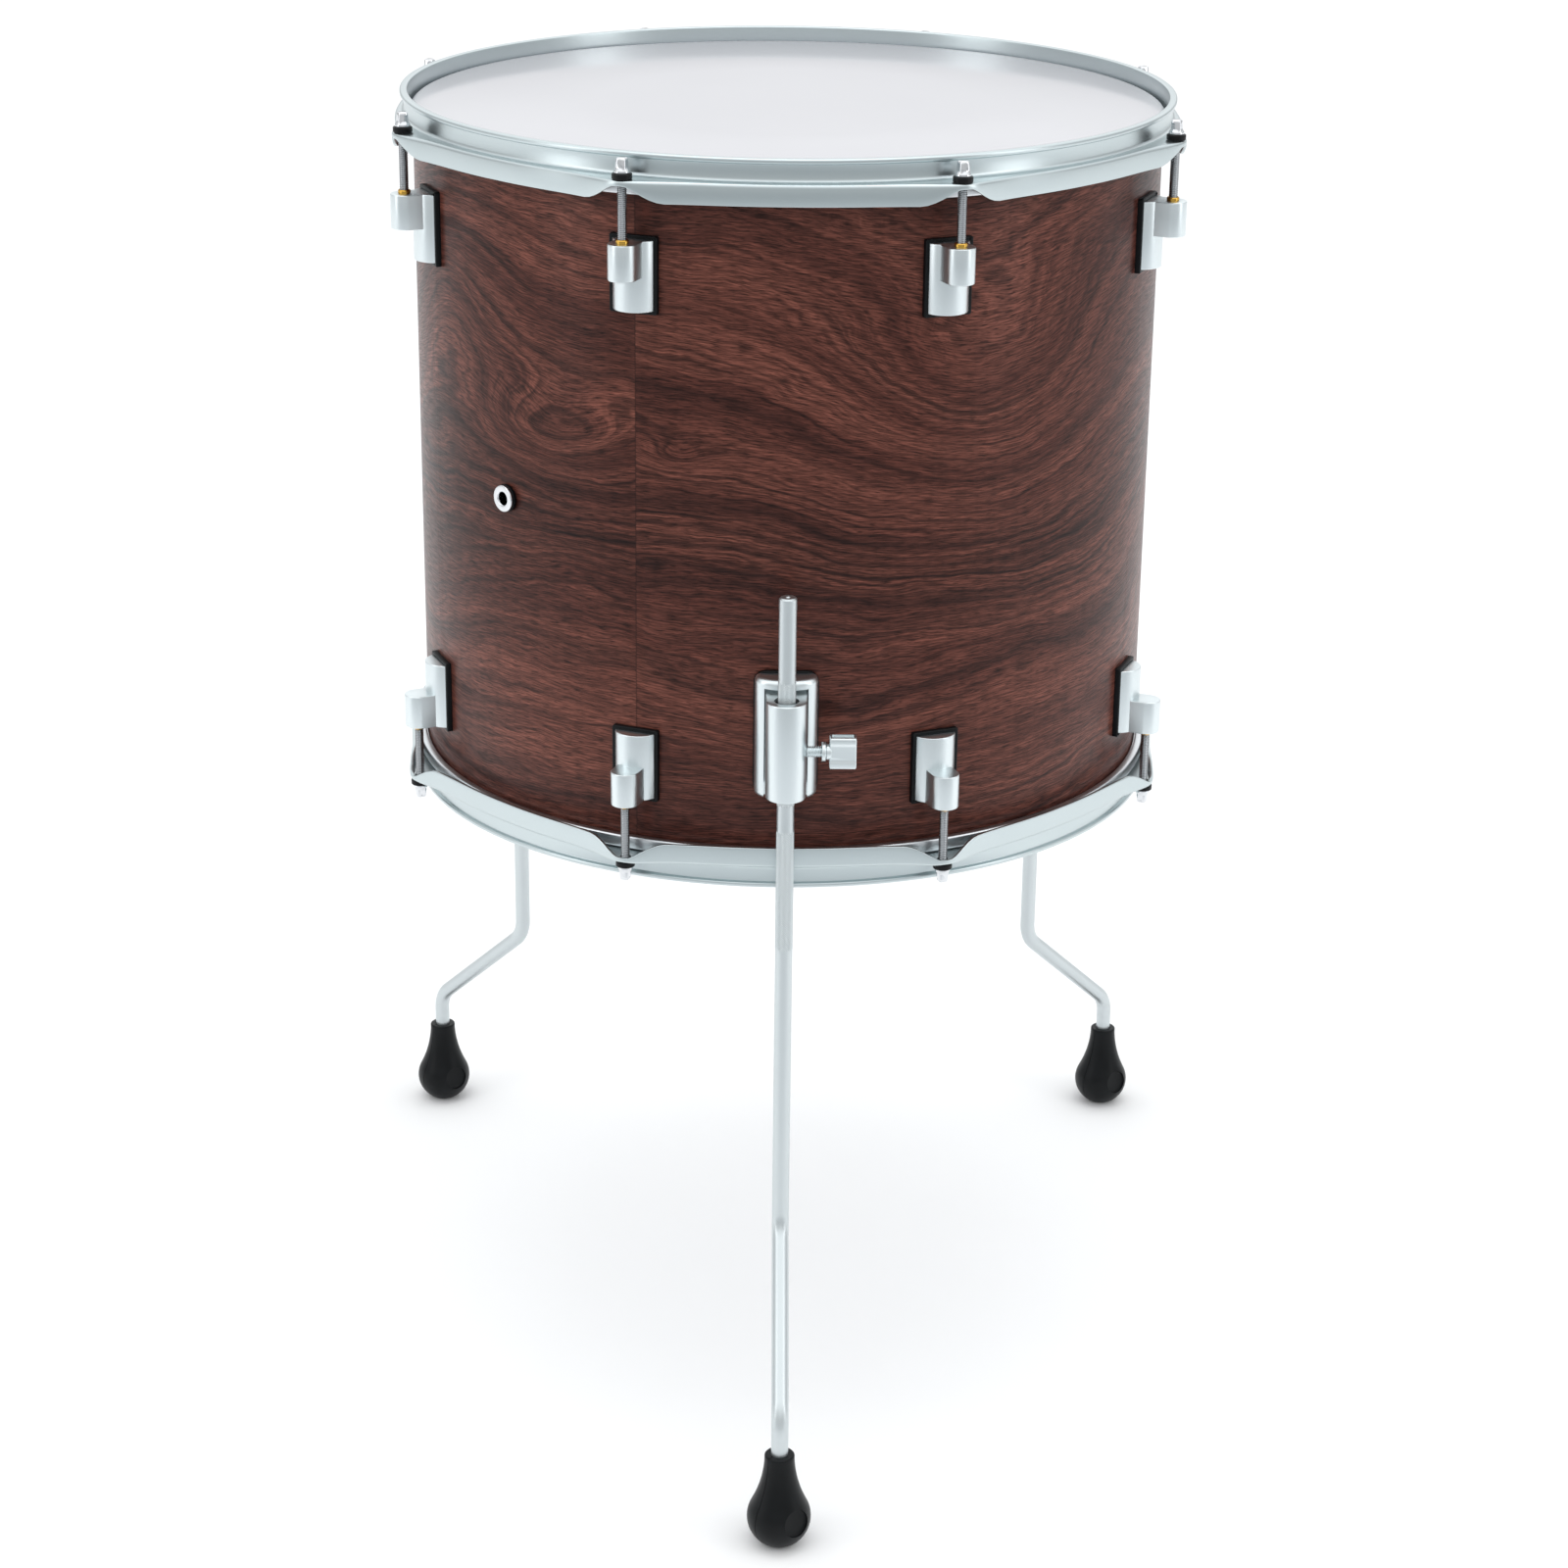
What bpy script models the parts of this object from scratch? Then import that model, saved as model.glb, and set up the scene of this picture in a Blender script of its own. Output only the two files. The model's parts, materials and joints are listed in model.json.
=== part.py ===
"""Floor tom: a wooden shell with two tuned heads, standing on three height-adjustable legs.

Units are metres, +Z is up and the front leg points to -Y. An azimuth is measured round the
drum's axis from -Y, positive towards +X. Every piece is placed under one empty on that axis.
"""
import math

import bmesh
import bpy
from mathutils import Matrix

# ---------------------------------------------------------------- driving dimensions
SHELL_RADIUS = 0.2286            # 18 inch shell
SHELL_WALL = 0.0075
SHELL_DEPTH = 0.4120             # bearing edge to bearing edge
CENTRE_HEIGHT = 0.5902           # middle of the shell above the floor
GAP = 0.0003                     # clearance between pieces that touch

LUG_COUNT = 8                    # lugs and rods for each head
ROD_CIRCLE = 0.2454              # radius of the circle that the tension rods stand on
ROD_RADIUS = 0.0027
ROD_REACH = 0.0515               # from under the head of the rod to its tip
WASHER_RADIUS = 0.00575
WASHER_HEIGHT = 0.0036

HOOP_HEIGHT = 0.2158             # rim of a hoop above the middle of the shell
HOOP_WALL_RADIUS = 0.2338        # outer face of the upright wall
HOOP_SHEET = 0.0023              # thickness of the hoop's metal
HOOP_LEDGE_DROP = 0.0135         # from the rim down to the ledge that the rods pull on
HOOP_SKIRT_RADIUS = 0.2386
HOOP_SKIRT_HEIGHT = 0.0125       # from the ledge down to the free edge of the skirt
EAR_REACH = 0.0126               # how far an ear stands out past the skirt
EAR_SWELL = 0.0230               # distance from an ear's middle at which half its reach is left
EAR_FLAT = 0.0030                # half width of the flat top of the arch cut into the skirt
EAR_ARCH = 0.0250                # half width of the whole arch

LUG_TOP = 0.1666                 # mouth of a lug above the middle of the shell
LUG_HEIGHT = 0.0405
LUG_WIDTH = 0.0250
LUG_DEPTH = 0.0110
BARREL_WIDTH = 0.0168
BARREL_HEIGHT = 0.0207
NUT_BORE_RADIUS = 0.0032
NUT_BORE_DEPTH = 0.0173

VENT_AZIMUTH = math.radians(-46)
VENT_RADIUS = 0.0080

LEG_AZIMUTHS = {"front": 0.0, "rear_right": math.radians(135), "rear_left": math.radians(-135)}
LEG_CIRCLE = 0.2584              # radius from the drum's axis to the upright of a leg
FOOT_CIRCLE = 0.3518             # radius to the middle of a foot
LEG_RADIUS = 0.00525
LEG_TOP = 0.5628
LEG_BOTTOM = 0.0120
UPPER_BEND_HEIGHT = 0.1620
LOWER_BEND_HEIGHT = 0.0830
BEND_RADIUS = 0.0220

BRACKET_BOTTOM = 0.4335
BRACKET_TOP = 0.5070
BRACKET_WIDTH = 0.0365
BRACKET_EDGE = 0.0060            # depth of the base at its sides, with its gasket
BRACKET_BULGE = 0.0115           # how much further the base stands out in its middle
CHANNEL_GAP = 0.0009             # between the clamp and each wall of the base's channel
CHANNEL_FLOOR = 0.0066           # depth of the base behind the clamp, with its gasket
CHANNEL_TOP = 0.5016
CLAMP_BOTTOM = 0.4407
CLAMP_TOP = 0.4995
CLAMP_WIDTH = 0.0237
SLEEVE_RADIUS = 0.0070
SCREW_HEIGHT = 0.4690            # height of the thumb screw's axis
SCREW_RADIUS = 0.0033

FOOT_RADIUS = 0.0193
FOOT_EQUATOR = 0.0175            # height of the widest part of a foot
FOOT_TOP = 0.0597
FOOT_NECK_RADIUS = 0.0090

TURN_STEPS = 64                  # facets round the drum
SMALL_STEPS = 12                 # facets round small turned pieces
ROD_STEPS = 10
FOOT_STEPS = 16
MERGE = 0.00001

# the origin is the middle of the box that holds the drum, so the axis lies a little behind it
FRONT_REACH = FOOT_CIRCLE + FOOT_RADIUS
BACK_REACH = FOOT_CIRCLE * math.cos(math.pi / 4) + FOOT_RADIUS
AXIS_Y = (FRONT_REACH - BACK_REACH) / 2

parts = None
cutters = None
axis_empty = None
materials = {}


# ---------------------------------------------------------------- helpers
def clear_scene():
    for item in list(bpy.data.objects):
        bpy.data.objects.remove(item, do_unlink=True)


def make_collection(name):
    collection = bpy.data.collections.new(name)
    bpy.context.scene.collection.children.link(collection)
    return collection


def make_material(name, colour, roughness, metallic):
    material = bpy.data.materials.new(name)
    material.use_nodes = True
    shader = material.node_tree.nodes["Principled BSDF"]
    shader.inputs["Base Color"].default_value = (*colour, 1.0)
    shader.inputs["Roughness"].default_value = roughness
    shader.inputs["Metallic"].default_value = metallic
    materials[name] = material


def make_materials():
    make_material("walnut", (0.105, 0.040, 0.028), 0.40, 0.0)
    make_material("satin_chrome", (0.62, 0.66, 0.67), 0.30, 1.0)
    make_material("bright_chrome", (0.80, 0.80, 0.82), 0.08, 1.0)
    make_material("aluminium", (0.75, 0.76, 0.78), 0.35, 1.0)
    make_material("white_film", (0.86, 0.85, 0.88), 0.15, 0.0)
    make_material("rubber", (0.012, 0.012, 0.013), 0.55, 0.0)
    make_material("nylon", (0.020, 0.020, 0.022), 0.45, 0.0)


def add_object(name, mesh, collection):
    item = bpy.data.objects.new(name, mesh)
    collection.objects.link(item)
    return item


def add_part(name, mesh, material, azimuth=0.0, radius=0.0, height=0.0):
    """Place a node: radius out from the drum's axis at an azimuth, its -Y side facing out."""
    item = add_object(name, mesh, parts)
    item.parent = axis_empty
    item.location = (radius * math.sin(azimuth), -radius * math.cos(azimuth), height)
    item.rotation_euler = (0.0, 0.0, azimuth)
    if not mesh.materials:
        mesh.materials.append(materials[material])
    mesh.shade_smooth()
    mesh.set_sharp_from_angle(angle=math.radians(35))
    return item


def add_cutter(name, mesh):
    item = add_object(name, mesh, cutters)
    item.hide_render = True
    item.display_type = "WIRE"
    return item


def evaluated_mesh(item):
    """The item's mesh with its modifiers worked in."""
    bpy.context.view_layer.update()
    graph = bpy.context.evaluated_depsgraph_get()
    return bpy.data.meshes.new_from_object(item.evaluated_get(graph))


def mesh_from(name, build):
    """A mesh that a bmesh function fills in."""
    mesh = bpy.data.meshes.new(name)
    work = bmesh.new()
    build(work)
    bmesh.ops.recalc_face_normals(work, faces=work.faces)
    work.to_mesh(mesh)
    work.free()
    return mesh


def turned_mesh(name, profile, steps, closed):
    """Turn a (radius, height) profile about Z; its outer side runs from the top down."""
    mesh = bpy.data.meshes.new(name + "_profile")
    points = [(radius, 0.0, height) for radius, height in profile]
    edges = [(i, i + 1) for i in range(len(points) - 1)]
    if closed:
        edges.append((len(points) - 1, 0))
    mesh.from_pydata(points, edges, [])
    item = add_object(name + "_profile", mesh, cutters)
    screw = item.modifiers.new("turn", "SCREW")
    screw.steps = steps
    screw.render_steps = steps
    screw.use_merge_vertices = True
    screw.merge_threshold = MERGE
    turned = evaluated_mesh(item)
    turned.name = name
    bpy.data.objects.remove(item, do_unlink=True)
    return turned


def prism_mesh(name, outline, low, high):
    """A flat (x, y) outline, raised from the height low to high."""
    def build(work):
        corners = [work.verts.new((x, y, low)) for x, y in outline]
        face = work.faces.new(corners)
        raised = bmesh.ops.extrude_face_region(work, geom=[face])["geom"]
        moved = [part for part in raised if isinstance(part, bmesh.types.BMVert)]
        bmesh.ops.translate(work, verts=moved, vec=(0.0, 0.0, high - low))
    return mesh_from(name, build)


def box_mesh(name, low, high):
    outline = [(low[0], low[1]), (high[0], low[1]), (high[0], high[1]), (low[0], high[1])]
    return prism_mesh(name, outline, low[2], high[2])


def rod_mesh(name, radius, low, high, steps):
    """An upright cylinder."""
    def build(work):
        place = Matrix.Translation((0.0, 0.0, (low + high) / 2))
        bmesh.ops.create_cone(work, cap_ends=True, segments=steps, radius1=radius,
                              radius2=radius, depth=high - low, matrix=place)
    return mesh_from(name, build)


def combined(name, base, tools):
    """The base mesh with each (operation, tool mesh) pair worked in by a Boolean."""
    item = add_object(name + "_base", base, cutters)
    helpers = [item]
    for number, (operation, mesh) in enumerate(tools):
        helper = add_object(f"{name}_tool_{number}", mesh, cutters)
        helpers.append(helper)
        boolean = item.modifiers.new(f"step_{number}", "BOOLEAN")
        boolean.operation = operation
        boolean.solver = "EXACT"
        boolean.object = helper
    result = evaluated_mesh(item)
    result.name = name
    for helper in helpers:
        bpy.data.objects.remove(helper, do_unlink=True)
    return result


def moved(mesh, matrix):
    mesh.transform(matrix)
    return mesh


def arc(centre_x, centre_y, radius, start, end, steps):
    """Points of an arc, with the angles in degrees from +X."""
    angles = [math.radians(start + (end - start) * i / steps) for i in range(steps + 1)]
    return [(centre_x + radius * math.cos(a), centre_y + radius * math.sin(a)) for a in angles]


def smooth_step(value):
    value = min(max(value, 0.0), 1.0)
    return value * value * (3.0 - 2.0 * value)


def flipped(mesh, name):
    """A mirrored copy for the lower head, whose outside faces down."""
    copy = mesh.copy()
    copy.name = name
    copy.transform(Matrix.Scale(-1.0, 4, (0.0, 0.0, 1.0)))
    copy.flip_normals()
    return copy


def lug_azimuths():
    return [math.radians(22.5) + 2.0 * math.pi * i / LUG_COUNT for i in range(LUG_COUNT)]


# ---------------------------------------------------------------- shell and vent
def add_shell():
    half = SHELL_DEPTH / 2
    inner = SHELL_RADIUS - SHELL_WALL
    edge = SHELL_RADIUS - 0.0024
    profile = [(edge, half), (SHELL_RADIUS, half - 0.0022), (SHELL_RADIUS, 0.0022 - half),
               (edge, -half), (inner, 0.0051 - half), (inner, half - 0.0051)]
    shell = add_part("shell", turned_mesh("shell", profile, TURN_STEPS, True), "walnut",
                     height=CENTRE_HEIGHT)
    hole = rod_mesh("vent_hole", 0.0058, -0.015, 0.015, SMALL_STEPS)
    cutter = add_cutter("vent_hole", hole)
    cutter.parent = axis_empty
    cutter.location = (SHELL_RADIUS * math.sin(VENT_AZIMUTH),
                       -SHELL_RADIUS * math.cos(VENT_AZIMUTH), CENTRE_HEIGHT)
    cutter.rotation_euler = (math.pi / 2, 0.0, VENT_AZIMUTH)
    boolean = shell.modifiers.new("vent_hole", "BOOLEAN")
    boolean.object = cutter
    boolean.solver = "EXACT"


def add_vent():
    """A bright eyelet through the shell on a rubber washer, held by a nut inside."""
    washer_back = 0.0003
    washer_front = 0.0027
    flange_front = 0.0044
    inner_end = -SHELL_WALL - 0.0055
    eyelet = [(0.0040, flange_front - 0.0006), (0.0048, flange_front), (0.0070, flange_front),
              (VENT_RADIUS, flange_front - 0.0010), (VENT_RADIUS, washer_front + GAP),
              (0.0050, washer_front + GAP), (0.0050, inner_end), (0.0040, inner_end)]
    washer = [(0.0054, washer_front), (0.0083, washer_front), (0.0083, washer_back),
              (0.0054, washer_back)]
    nut_front = -SHELL_WALL - 0.0005
    nut = [(0.0054, nut_front), (0.0085, nut_front), (0.0085, nut_front - 0.0032),
           (0.0054, nut_front - 0.0032)]
    face_out = Matrix.Rotation(math.pi / 2, 4, "X")
    for name, profile, material in (("vent_grommet", eyelet, "bright_chrome"),
                                    ("vent_gasket", washer, "rubber"),
                                    ("vent_nut", nut, "satin_chrome")):
        mesh = moved(turned_mesh(name, profile, SMALL_STEPS, True), face_out)
        add_part(name, mesh, material, VENT_AZIMUTH, SHELL_RADIUS, CENTRE_HEIGHT)


# ---------------------------------------------------------------- heads and hoops
def ear_swell(offset):
    """How far the skirt swells out to an ear: 1 in its middle, 0 halfway to the next ear."""
    tail = 1.0 / (1.0 + (math.pi / LUG_COUNT * ROD_CIRCLE / EAR_SWELL) ** 2)
    return (1.0 / (1.0 + (offset / EAR_SWELL) ** 2) - tail) / (1.0 - tail)


def ear_arch(offset):
    """How far the skirt's edge has risen to the ear: 1 in its middle, 0 beyond the arch."""
    run = max((abs(offset) - EAR_FLAT) / (EAR_ARCH - EAR_FLAT), 0.0)
    return 1.0 - smooth_step(run ** 0.75)


def hoop_section(offset):
    """The hoop's closed section at an arc length away from the middle of an ear."""
    rim = HOOP_HEIGHT
    ledge = rim - HOOP_LEDGE_DROP
    wall_inner = HOOP_WALL_RADIUS - HOOP_SHEET
    skirt = HOOP_SKIRT_RADIUS + EAR_REACH * ear_swell(offset)
    rise = HOOP_SKIRT_HEIGHT - HOOP_SHEET - 0.0008
    skirt_bottom = ledge - HOOP_SKIRT_HEIGHT + rise * ear_arch(offset)
    return [(wall_inner, rim), (HOOP_WALL_RADIUS + HOOP_SHEET, rim),
            (HOOP_WALL_RADIUS + HOOP_SHEET, rim - 0.0024), (HOOP_WALL_RADIUS, rim - 0.0034),
            (HOOP_WALL_RADIUS, ledge), (skirt, ledge), (skirt, skirt_bottom),
            (skirt - HOOP_SHEET, skirt_bottom), (skirt - HOOP_SHEET, ledge - HOOP_SHEET),
            (wall_inner, ledge - HOOP_SHEET)]


def hoop_stations():
    """(azimuth, arc length from the nearest ear) round the hoop, closer together at the ears."""
    half_steps = 7
    half_sector = math.pi / LUG_COUNT
    stations = []
    for ear in lug_azimuths():
        for step in range(1 - half_steps, half_steps + 1):
            spread = math.copysign((abs(step) / half_steps) ** 1.6, step) * half_sector
            stations.append((ear + spread, spread * ROD_CIRCLE))
    return stations


def hoop_mesh():
    """A loft round the drum through the changing section, with a hole in each ear."""
    def build(work):
        rings = []
        for azimuth, offset in hoop_stations():
            rings.append([work.verts.new((radius * math.sin(azimuth),
                                          -radius * math.cos(azimuth), height))
                          for radius, height in hoop_section(offset)])
        for this, following in zip(rings, rings[1:] + rings[:1]):
            for i in range(len(this)):
                j = (i + 1) % len(this)
                work.faces.new((this[i], this[j], following[j], following[i]))

    def drill(work):
        ledge = HOOP_HEIGHT - HOOP_LEDGE_DROP
        for azimuth in lug_azimuths():
            place = Matrix.Translation((ROD_CIRCLE * math.sin(azimuth),
                                        -ROD_CIRCLE * math.cos(azimuth), ledge))
            bmesh.ops.create_cone(work, cap_ends=True, segments=ROD_STEPS, radius1=0.0034,
                                  radius2=0.0034, depth=0.010, matrix=place)
    hoop = mesh_from("hoop_blank", build)
    return combined("hoop", hoop, [("DIFFERENCE", mesh_from("hoop_holes", drill))])


def flesh_hoop_mesh():
    """The aluminium ring that the film is bonded into, under the hoop's ledge."""
    top = HOOP_HEIGHT - HOOP_LEDGE_DROP - HOOP_SHEET - GAP
    inner = SHELL_RADIUS + 0.0017
    outer = inner + 0.0047
    profile = [(inner, top), (outer, top), (outer, top - 0.0080), (inner, top - 0.0080)]
    return turned_mesh("flesh_hoop", profile, TURN_STEPS, True)


def film_mesh():
    """The film: flat over the bearing edge, with a collar down into its ring."""
    under = SHELL_DEPTH / 2 + GAP
    thickness = 0.0007
    outer = SHELL_RADIUS + 0.0014
    inner = SHELL_RADIUS + 0.0007
    collar = HOOP_HEIGHT - HOOP_LEDGE_DROP - 0.0090
    profile = [(0.0, under + thickness), (outer - 0.0030, under + thickness),
               (outer, under - 0.0030), (outer, collar), (inner, collar),
               (inner, under - 0.0030), (inner - 0.0026, under), (0.0, under)]
    return turned_mesh("film", profile, TURN_STEPS, False)


def tension_rod_mesh():
    """A threaded rod under a square drive head, with its washers. Its seat is at height 0."""
    flange = WASHER_HEIGHT + 0.0020
    profile = [(0.0, flange), (0.00465, flange), (0.00465, WASHER_HEIGHT),
               (WASHER_RADIUS, WASHER_HEIGHT), (WASHER_RADIUS, GAP), (ROD_RADIUS, GAP),
               (ROD_RADIUS, 0.0008 - ROD_REACH), (ROD_RADIUS - 0.0008, -ROD_REACH),
               (0.0, -ROD_REACH)]

    def build(work):
        place = Matrix.Translation((0.0, 0.0, 0.0078)) @ Matrix.Rotation(math.pi / 4, 4, "Z")
        bmesh.ops.create_cone(work, cap_ends=True, segments=4, radius1=0.0044, radius2=0.0038,
                              depth=0.0084, matrix=place)
    shaft = turned_mesh("rod_shaft", profile, ROD_STEPS, False)
    return combined("tension_rod", shaft, [("UNION", mesh_from("drive_square", build))])


def lug_mesh():
    """A half-round base on the shell, and a barrel on the rod circle with a blind bore.

    The bore's mouth is at height 0 and the drum's axis is at y = ROD_CIRCLE.
    """
    back = ROD_CIRCLE - SHELL_RADIUS - GAP
    half = LUG_WIDTH / 2
    radius = (half * half + LUG_DEPTH * LUG_DEPTH) / (2 * LUG_DEPTH)
    sweep = math.degrees(math.asin(half / radius))
    centre = back - LUG_DEPTH + radius
    base = arc(0.0, centre, radius, 270 - sweep, 270 + sweep, 8)
    barrel = [(BARREL_WIDTH / 2, back - 0.004), (-BARREL_WIDTH / 2, back - 0.004)]
    barrel += arc(0.0, 0.0, BARREL_WIDTH / 2, 180, 360, 8)
    bore = rod_mesh("nut_bore", NUT_BORE_RADIUS, -NUT_BORE_DEPTH, 0.005, ROD_STEPS)
    return combined("lug", prism_mesh("lug_base", base, -LUG_HEIGHT, 0.0),
                    [("UNION", prism_mesh("lug_barrel", barrel, -BARREL_HEIGHT, 0.0)),
                     ("DIFFERENCE", bore)])


def add_head(side, down):
    """One head with its hoop, rods and lugs; the lower head is the upper one turned over."""
    def oriented(mesh, name):
        return flipped(mesh, name) if down else mesh

    sign = -1.0 if down else 1.0
    pieces = (("hoop", hoop_mesh(), "satin_chrome"),
              ("flesh_hoop", flesh_hoop_mesh(), "aluminium"),
              ("head", film_mesh(), "white_film"))
    for kind, mesh, material in pieces:
        name = f"{side}_{kind}"
        add_part(name, oriented(mesh, name), material, height=CENTRE_HEIGHT)

    seat = HOOP_HEIGHT - HOOP_LEDGE_DROP
    rod = oriented(tension_rod_mesh(), f"{side}_rod")
    lug = oriented(lug_mesh(), f"{side}_lug")
    for number, azimuth in enumerate(lug_azimuths(), start=1):
        add_part(f"{side}_rod_{number}", rod, "bright_chrome", azimuth, ROD_CIRCLE,
                 CENTRE_HEIGHT + sign * seat)
        add_part(f"{side}_lug_{number}", lug, "satin_chrome", azimuth, ROD_CIRCLE,
                 CENTRE_HEIGHT + sign * LUG_TOP)


# ---------------------------------------------------------------- legs
def bracket_mesh():
    """A bulging base on the shell, with a channel that holds a bored and tapped clamp."""
    back = LEG_CIRCLE - SHELL_RADIUS - GAP
    half = BRACKET_WIDTH / 2
    outline = [(half, back), (-half, back)]
    bulge = arc(0.0, 0.0, 1.0, 180, 360, 12)
    outline += [(half * x, back - BRACKET_EDGE + BRACKET_BULGE * y) for x, y in bulge]
    side = CLAMP_WIDTH / 2 + CHANNEL_GAP
    floor = back - CHANNEL_FLOOR
    channel = [(-side, -0.03), (side, -0.03), (side, floor), (-side, floor)]
    clamp = [(CLAMP_WIDTH / 2, floor + 0.0006), (-CLAMP_WIDTH / 2, floor + 0.0006)]
    clamp += arc(0.0, 0.0, CLAMP_WIDTH / 2, 180, 360, 12)
    bore = rod_mesh("sleeve_bore", SLEEVE_RADIUS + 0.0006, 0.40, 0.55, SMALL_STEPS)
    tap = rod_mesh("screw_tap", SCREW_RADIUS + 0.0004, 0.002, 0.030, ROD_STEPS)
    tap = moved(tap, Matrix.Translation((0, 0, SCREW_HEIGHT)) @ Matrix.Rotation(math.pi / 2, 4, "Y"))
    return combined("leg_bracket", prism_mesh("bracket_base", outline, BRACKET_BOTTOM, BRACKET_TOP),
                    [("DIFFERENCE", prism_mesh("channel", channel, BRACKET_BOTTOM - 0.001, CHANNEL_TOP)),
                     ("UNION", prism_mesh("clamp", clamp, CLAMP_BOTTOM, CLAMP_TOP)),
                     ("DIFFERENCE", bore), ("DIFFERENCE", tap)])


def sleeve_mesh():
    """A split bush between the clamp and the leg."""
    low = CLAMP_BOTTOM + 0.0006
    high = CLAMP_TOP - 0.0006
    inner = LEG_RADIUS + 0.0005
    profile = [(inner, high), (SLEEVE_RADIUS, high), (SLEEVE_RADIUS, low), (inner, low)]
    slit = box_mesh("slit", (-0.020, -0.0007, low - 0.01), (0.0, 0.0007, high + 0.01))
    return combined("leg_sleeve", turned_mesh("bush", profile, SMALL_STEPS, True),
                    [("DIFFERENCE", slit)])


def bend_points(before, corner, after, radius, steps):
    """The arc that rounds a corner of a path, as (reach, height) points."""
    to_before = (before[0] - corner[0], before[1] - corner[1])
    to_after = (after[0] - corner[0], after[1] - corner[1])
    heading_in = math.atan2(-to_before[1], -to_before[0])
    heading_out = math.atan2(to_after[1], to_after[0])
    turn = heading_out - heading_in
    setback = radius * math.tan(abs(turn) / 2)
    start = (corner[0] - setback * math.cos(heading_in), corner[1] - setback * math.sin(heading_in))
    side = math.copysign(math.pi / 2, turn)
    centre = (start[0] + radius * math.cos(heading_in + side),
              start[1] + radius * math.sin(heading_in + side))
    angles = [heading_in - side + turn * i / steps for i in range(steps + 1)]
    return [(centre[0] + radius * math.cos(a), centre[1] + radius * math.sin(a)) for a in angles]


def leg_mesh():
    """A bent round bar: an upright, a run outwards and a short upright into the foot."""
    reach = FOOT_CIRCLE - LEG_CIRCLE
    top = (0.0, LEG_TOP)
    upper = (0.0, UPPER_BEND_HEIGHT)
    lower = (reach, LOWER_BEND_HEIGHT)
    bottom = (reach, LEG_BOTTOM)
    path = [top]
    path += bend_points(top, upper, lower, BEND_RADIUS, 5)
    path += bend_points(upper, lower, bottom, BEND_RADIUS, 5)
    path.append(bottom)
    curve = bpy.data.curves.new("leg", "CURVE")
    curve.dimensions = "3D"
    curve.bevel_depth = LEG_RADIUS
    curve.bevel_resolution = 3
    curve.use_fill_caps = True
    spline = curve.splines.new("POLY")
    spline.points.add(len(path) - 1)
    for point, (out, height) in zip(spline.points, path):
        point.co = (0.0, -out, height, 1.0)
    item = add_object("leg_curve", curve, cutters)
    mesh = evaluated_mesh(item)
    bpy.data.objects.remove(item, do_unlink=True)
    work = bmesh.new()
    work.from_mesh(mesh)
    bmesh.ops.remove_doubles(work, verts=work.verts, dist=MERGE)
    bmesh.ops.recalc_face_normals(work, faces=work.faces)
    work.to_mesh(mesh)
    work.free()
    return mesh


def foot_mesh():
    """A pear-shaped rubber foot with a flat tread and a socket for the leg."""
    tread_angle = -math.degrees(math.asin(FOOT_EQUATOR / FOOT_RADIUS))
    socket = LEG_RADIUS + 0.0005
    floor = LEG_BOTTOM - GAP
    profile = [(0.0, FOOT_TOP), (FOOT_NECK_RADIUS, FOOT_TOP), (FOOT_NECK_RADIUS, 0.0560),
               (0.0100, 0.0480), (0.0117, 0.0400), (0.0145, 0.0315)]
    profile += arc(0.0, FOOT_EQUATOR, FOOT_RADIUS, 25, tread_angle, 5)
    profile.append((0.0, 0.0))
    outside = turned_mesh("foot_outside", profile, FOOT_STEPS, False)
    hole = rod_mesh("foot_socket", socket, floor, FOOT_TOP + 0.01, FOOT_STEPS)
    return combined("foot", outside, [("DIFFERENCE", hole)])


def thumb_screw_mesh():
    """A stud with a collar and a winged head, pointing to +X; the leg's axis is at x = 0."""
    tip = SLEEVE_RADIUS + 0.0005
    profile = [(0.0, 0.0250), (0.0048, 0.0250), (0.0048, 0.0228 + GAP), (SCREW_RADIUS, 0.0228 + GAP),
               (SCREW_RADIUS, tip + 0.0010), (SCREW_RADIUS - 0.0008, tip), (0.0, tip)]
    stud = moved(turned_mesh("stud", profile, ROD_STEPS, False), Matrix.Rotation(math.pi / 2, 4, "Y"))

    def build(work):
        size = Matrix.Diagonal((0.0155, 0.0085, 0.0190, 1.0))
        bmesh.ops.create_cube(work, size=1.0, matrix=Matrix.Translation((0.03265, 0, 0)) @ size)
        bmesh.ops.bevel(work, geom=list(work.edges), offset=0.0015, segments=1,
                        affect="EDGES")
    return combined("thumb_screw", stud, [("UNION", mesh_from("wings", build))])


def thumb_washer_mesh():
    inner = SCREW_RADIUS + 0.0004
    profile = [(inner, 0.0228), (0.0058, 0.0228), (0.0058, 0.0205), (inner, 0.0205)]
    mesh = turned_mesh("thumb_washer", profile, ROD_STEPS, True)
    return moved(mesh, Matrix.Rotation(math.pi / 2, 4, "Y"))


def add_legs():
    """Each leg stands in its bracket; its pieces have their origins on the leg's upright."""
    upright = (("leg_bracket", bracket_mesh(), "satin_chrome"),
               ("leg_sleeve", sleeve_mesh(), "nylon"),
               ("leg", leg_mesh(), "satin_chrome"))
    foot = foot_mesh()
    screw = thumb_screw_mesh()
    washer = thumb_washer_mesh()
    for place, azimuth in LEG_AZIMUTHS.items():
        for kind, mesh, material in upright:
            add_part(f"{kind}_{place}", mesh, material, azimuth, LEG_CIRCLE)
        add_part(f"foot_{place}", foot, "rubber", azimuth, FOOT_CIRCLE)
        add_part(f"thumb_screw_{place}", screw, "satin_chrome", azimuth, LEG_CIRCLE, SCREW_HEIGHT)
        add_part(f"thumb_washer_{place}", washer, "satin_chrome", azimuth, LEG_CIRCLE, SCREW_HEIGHT)


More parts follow.
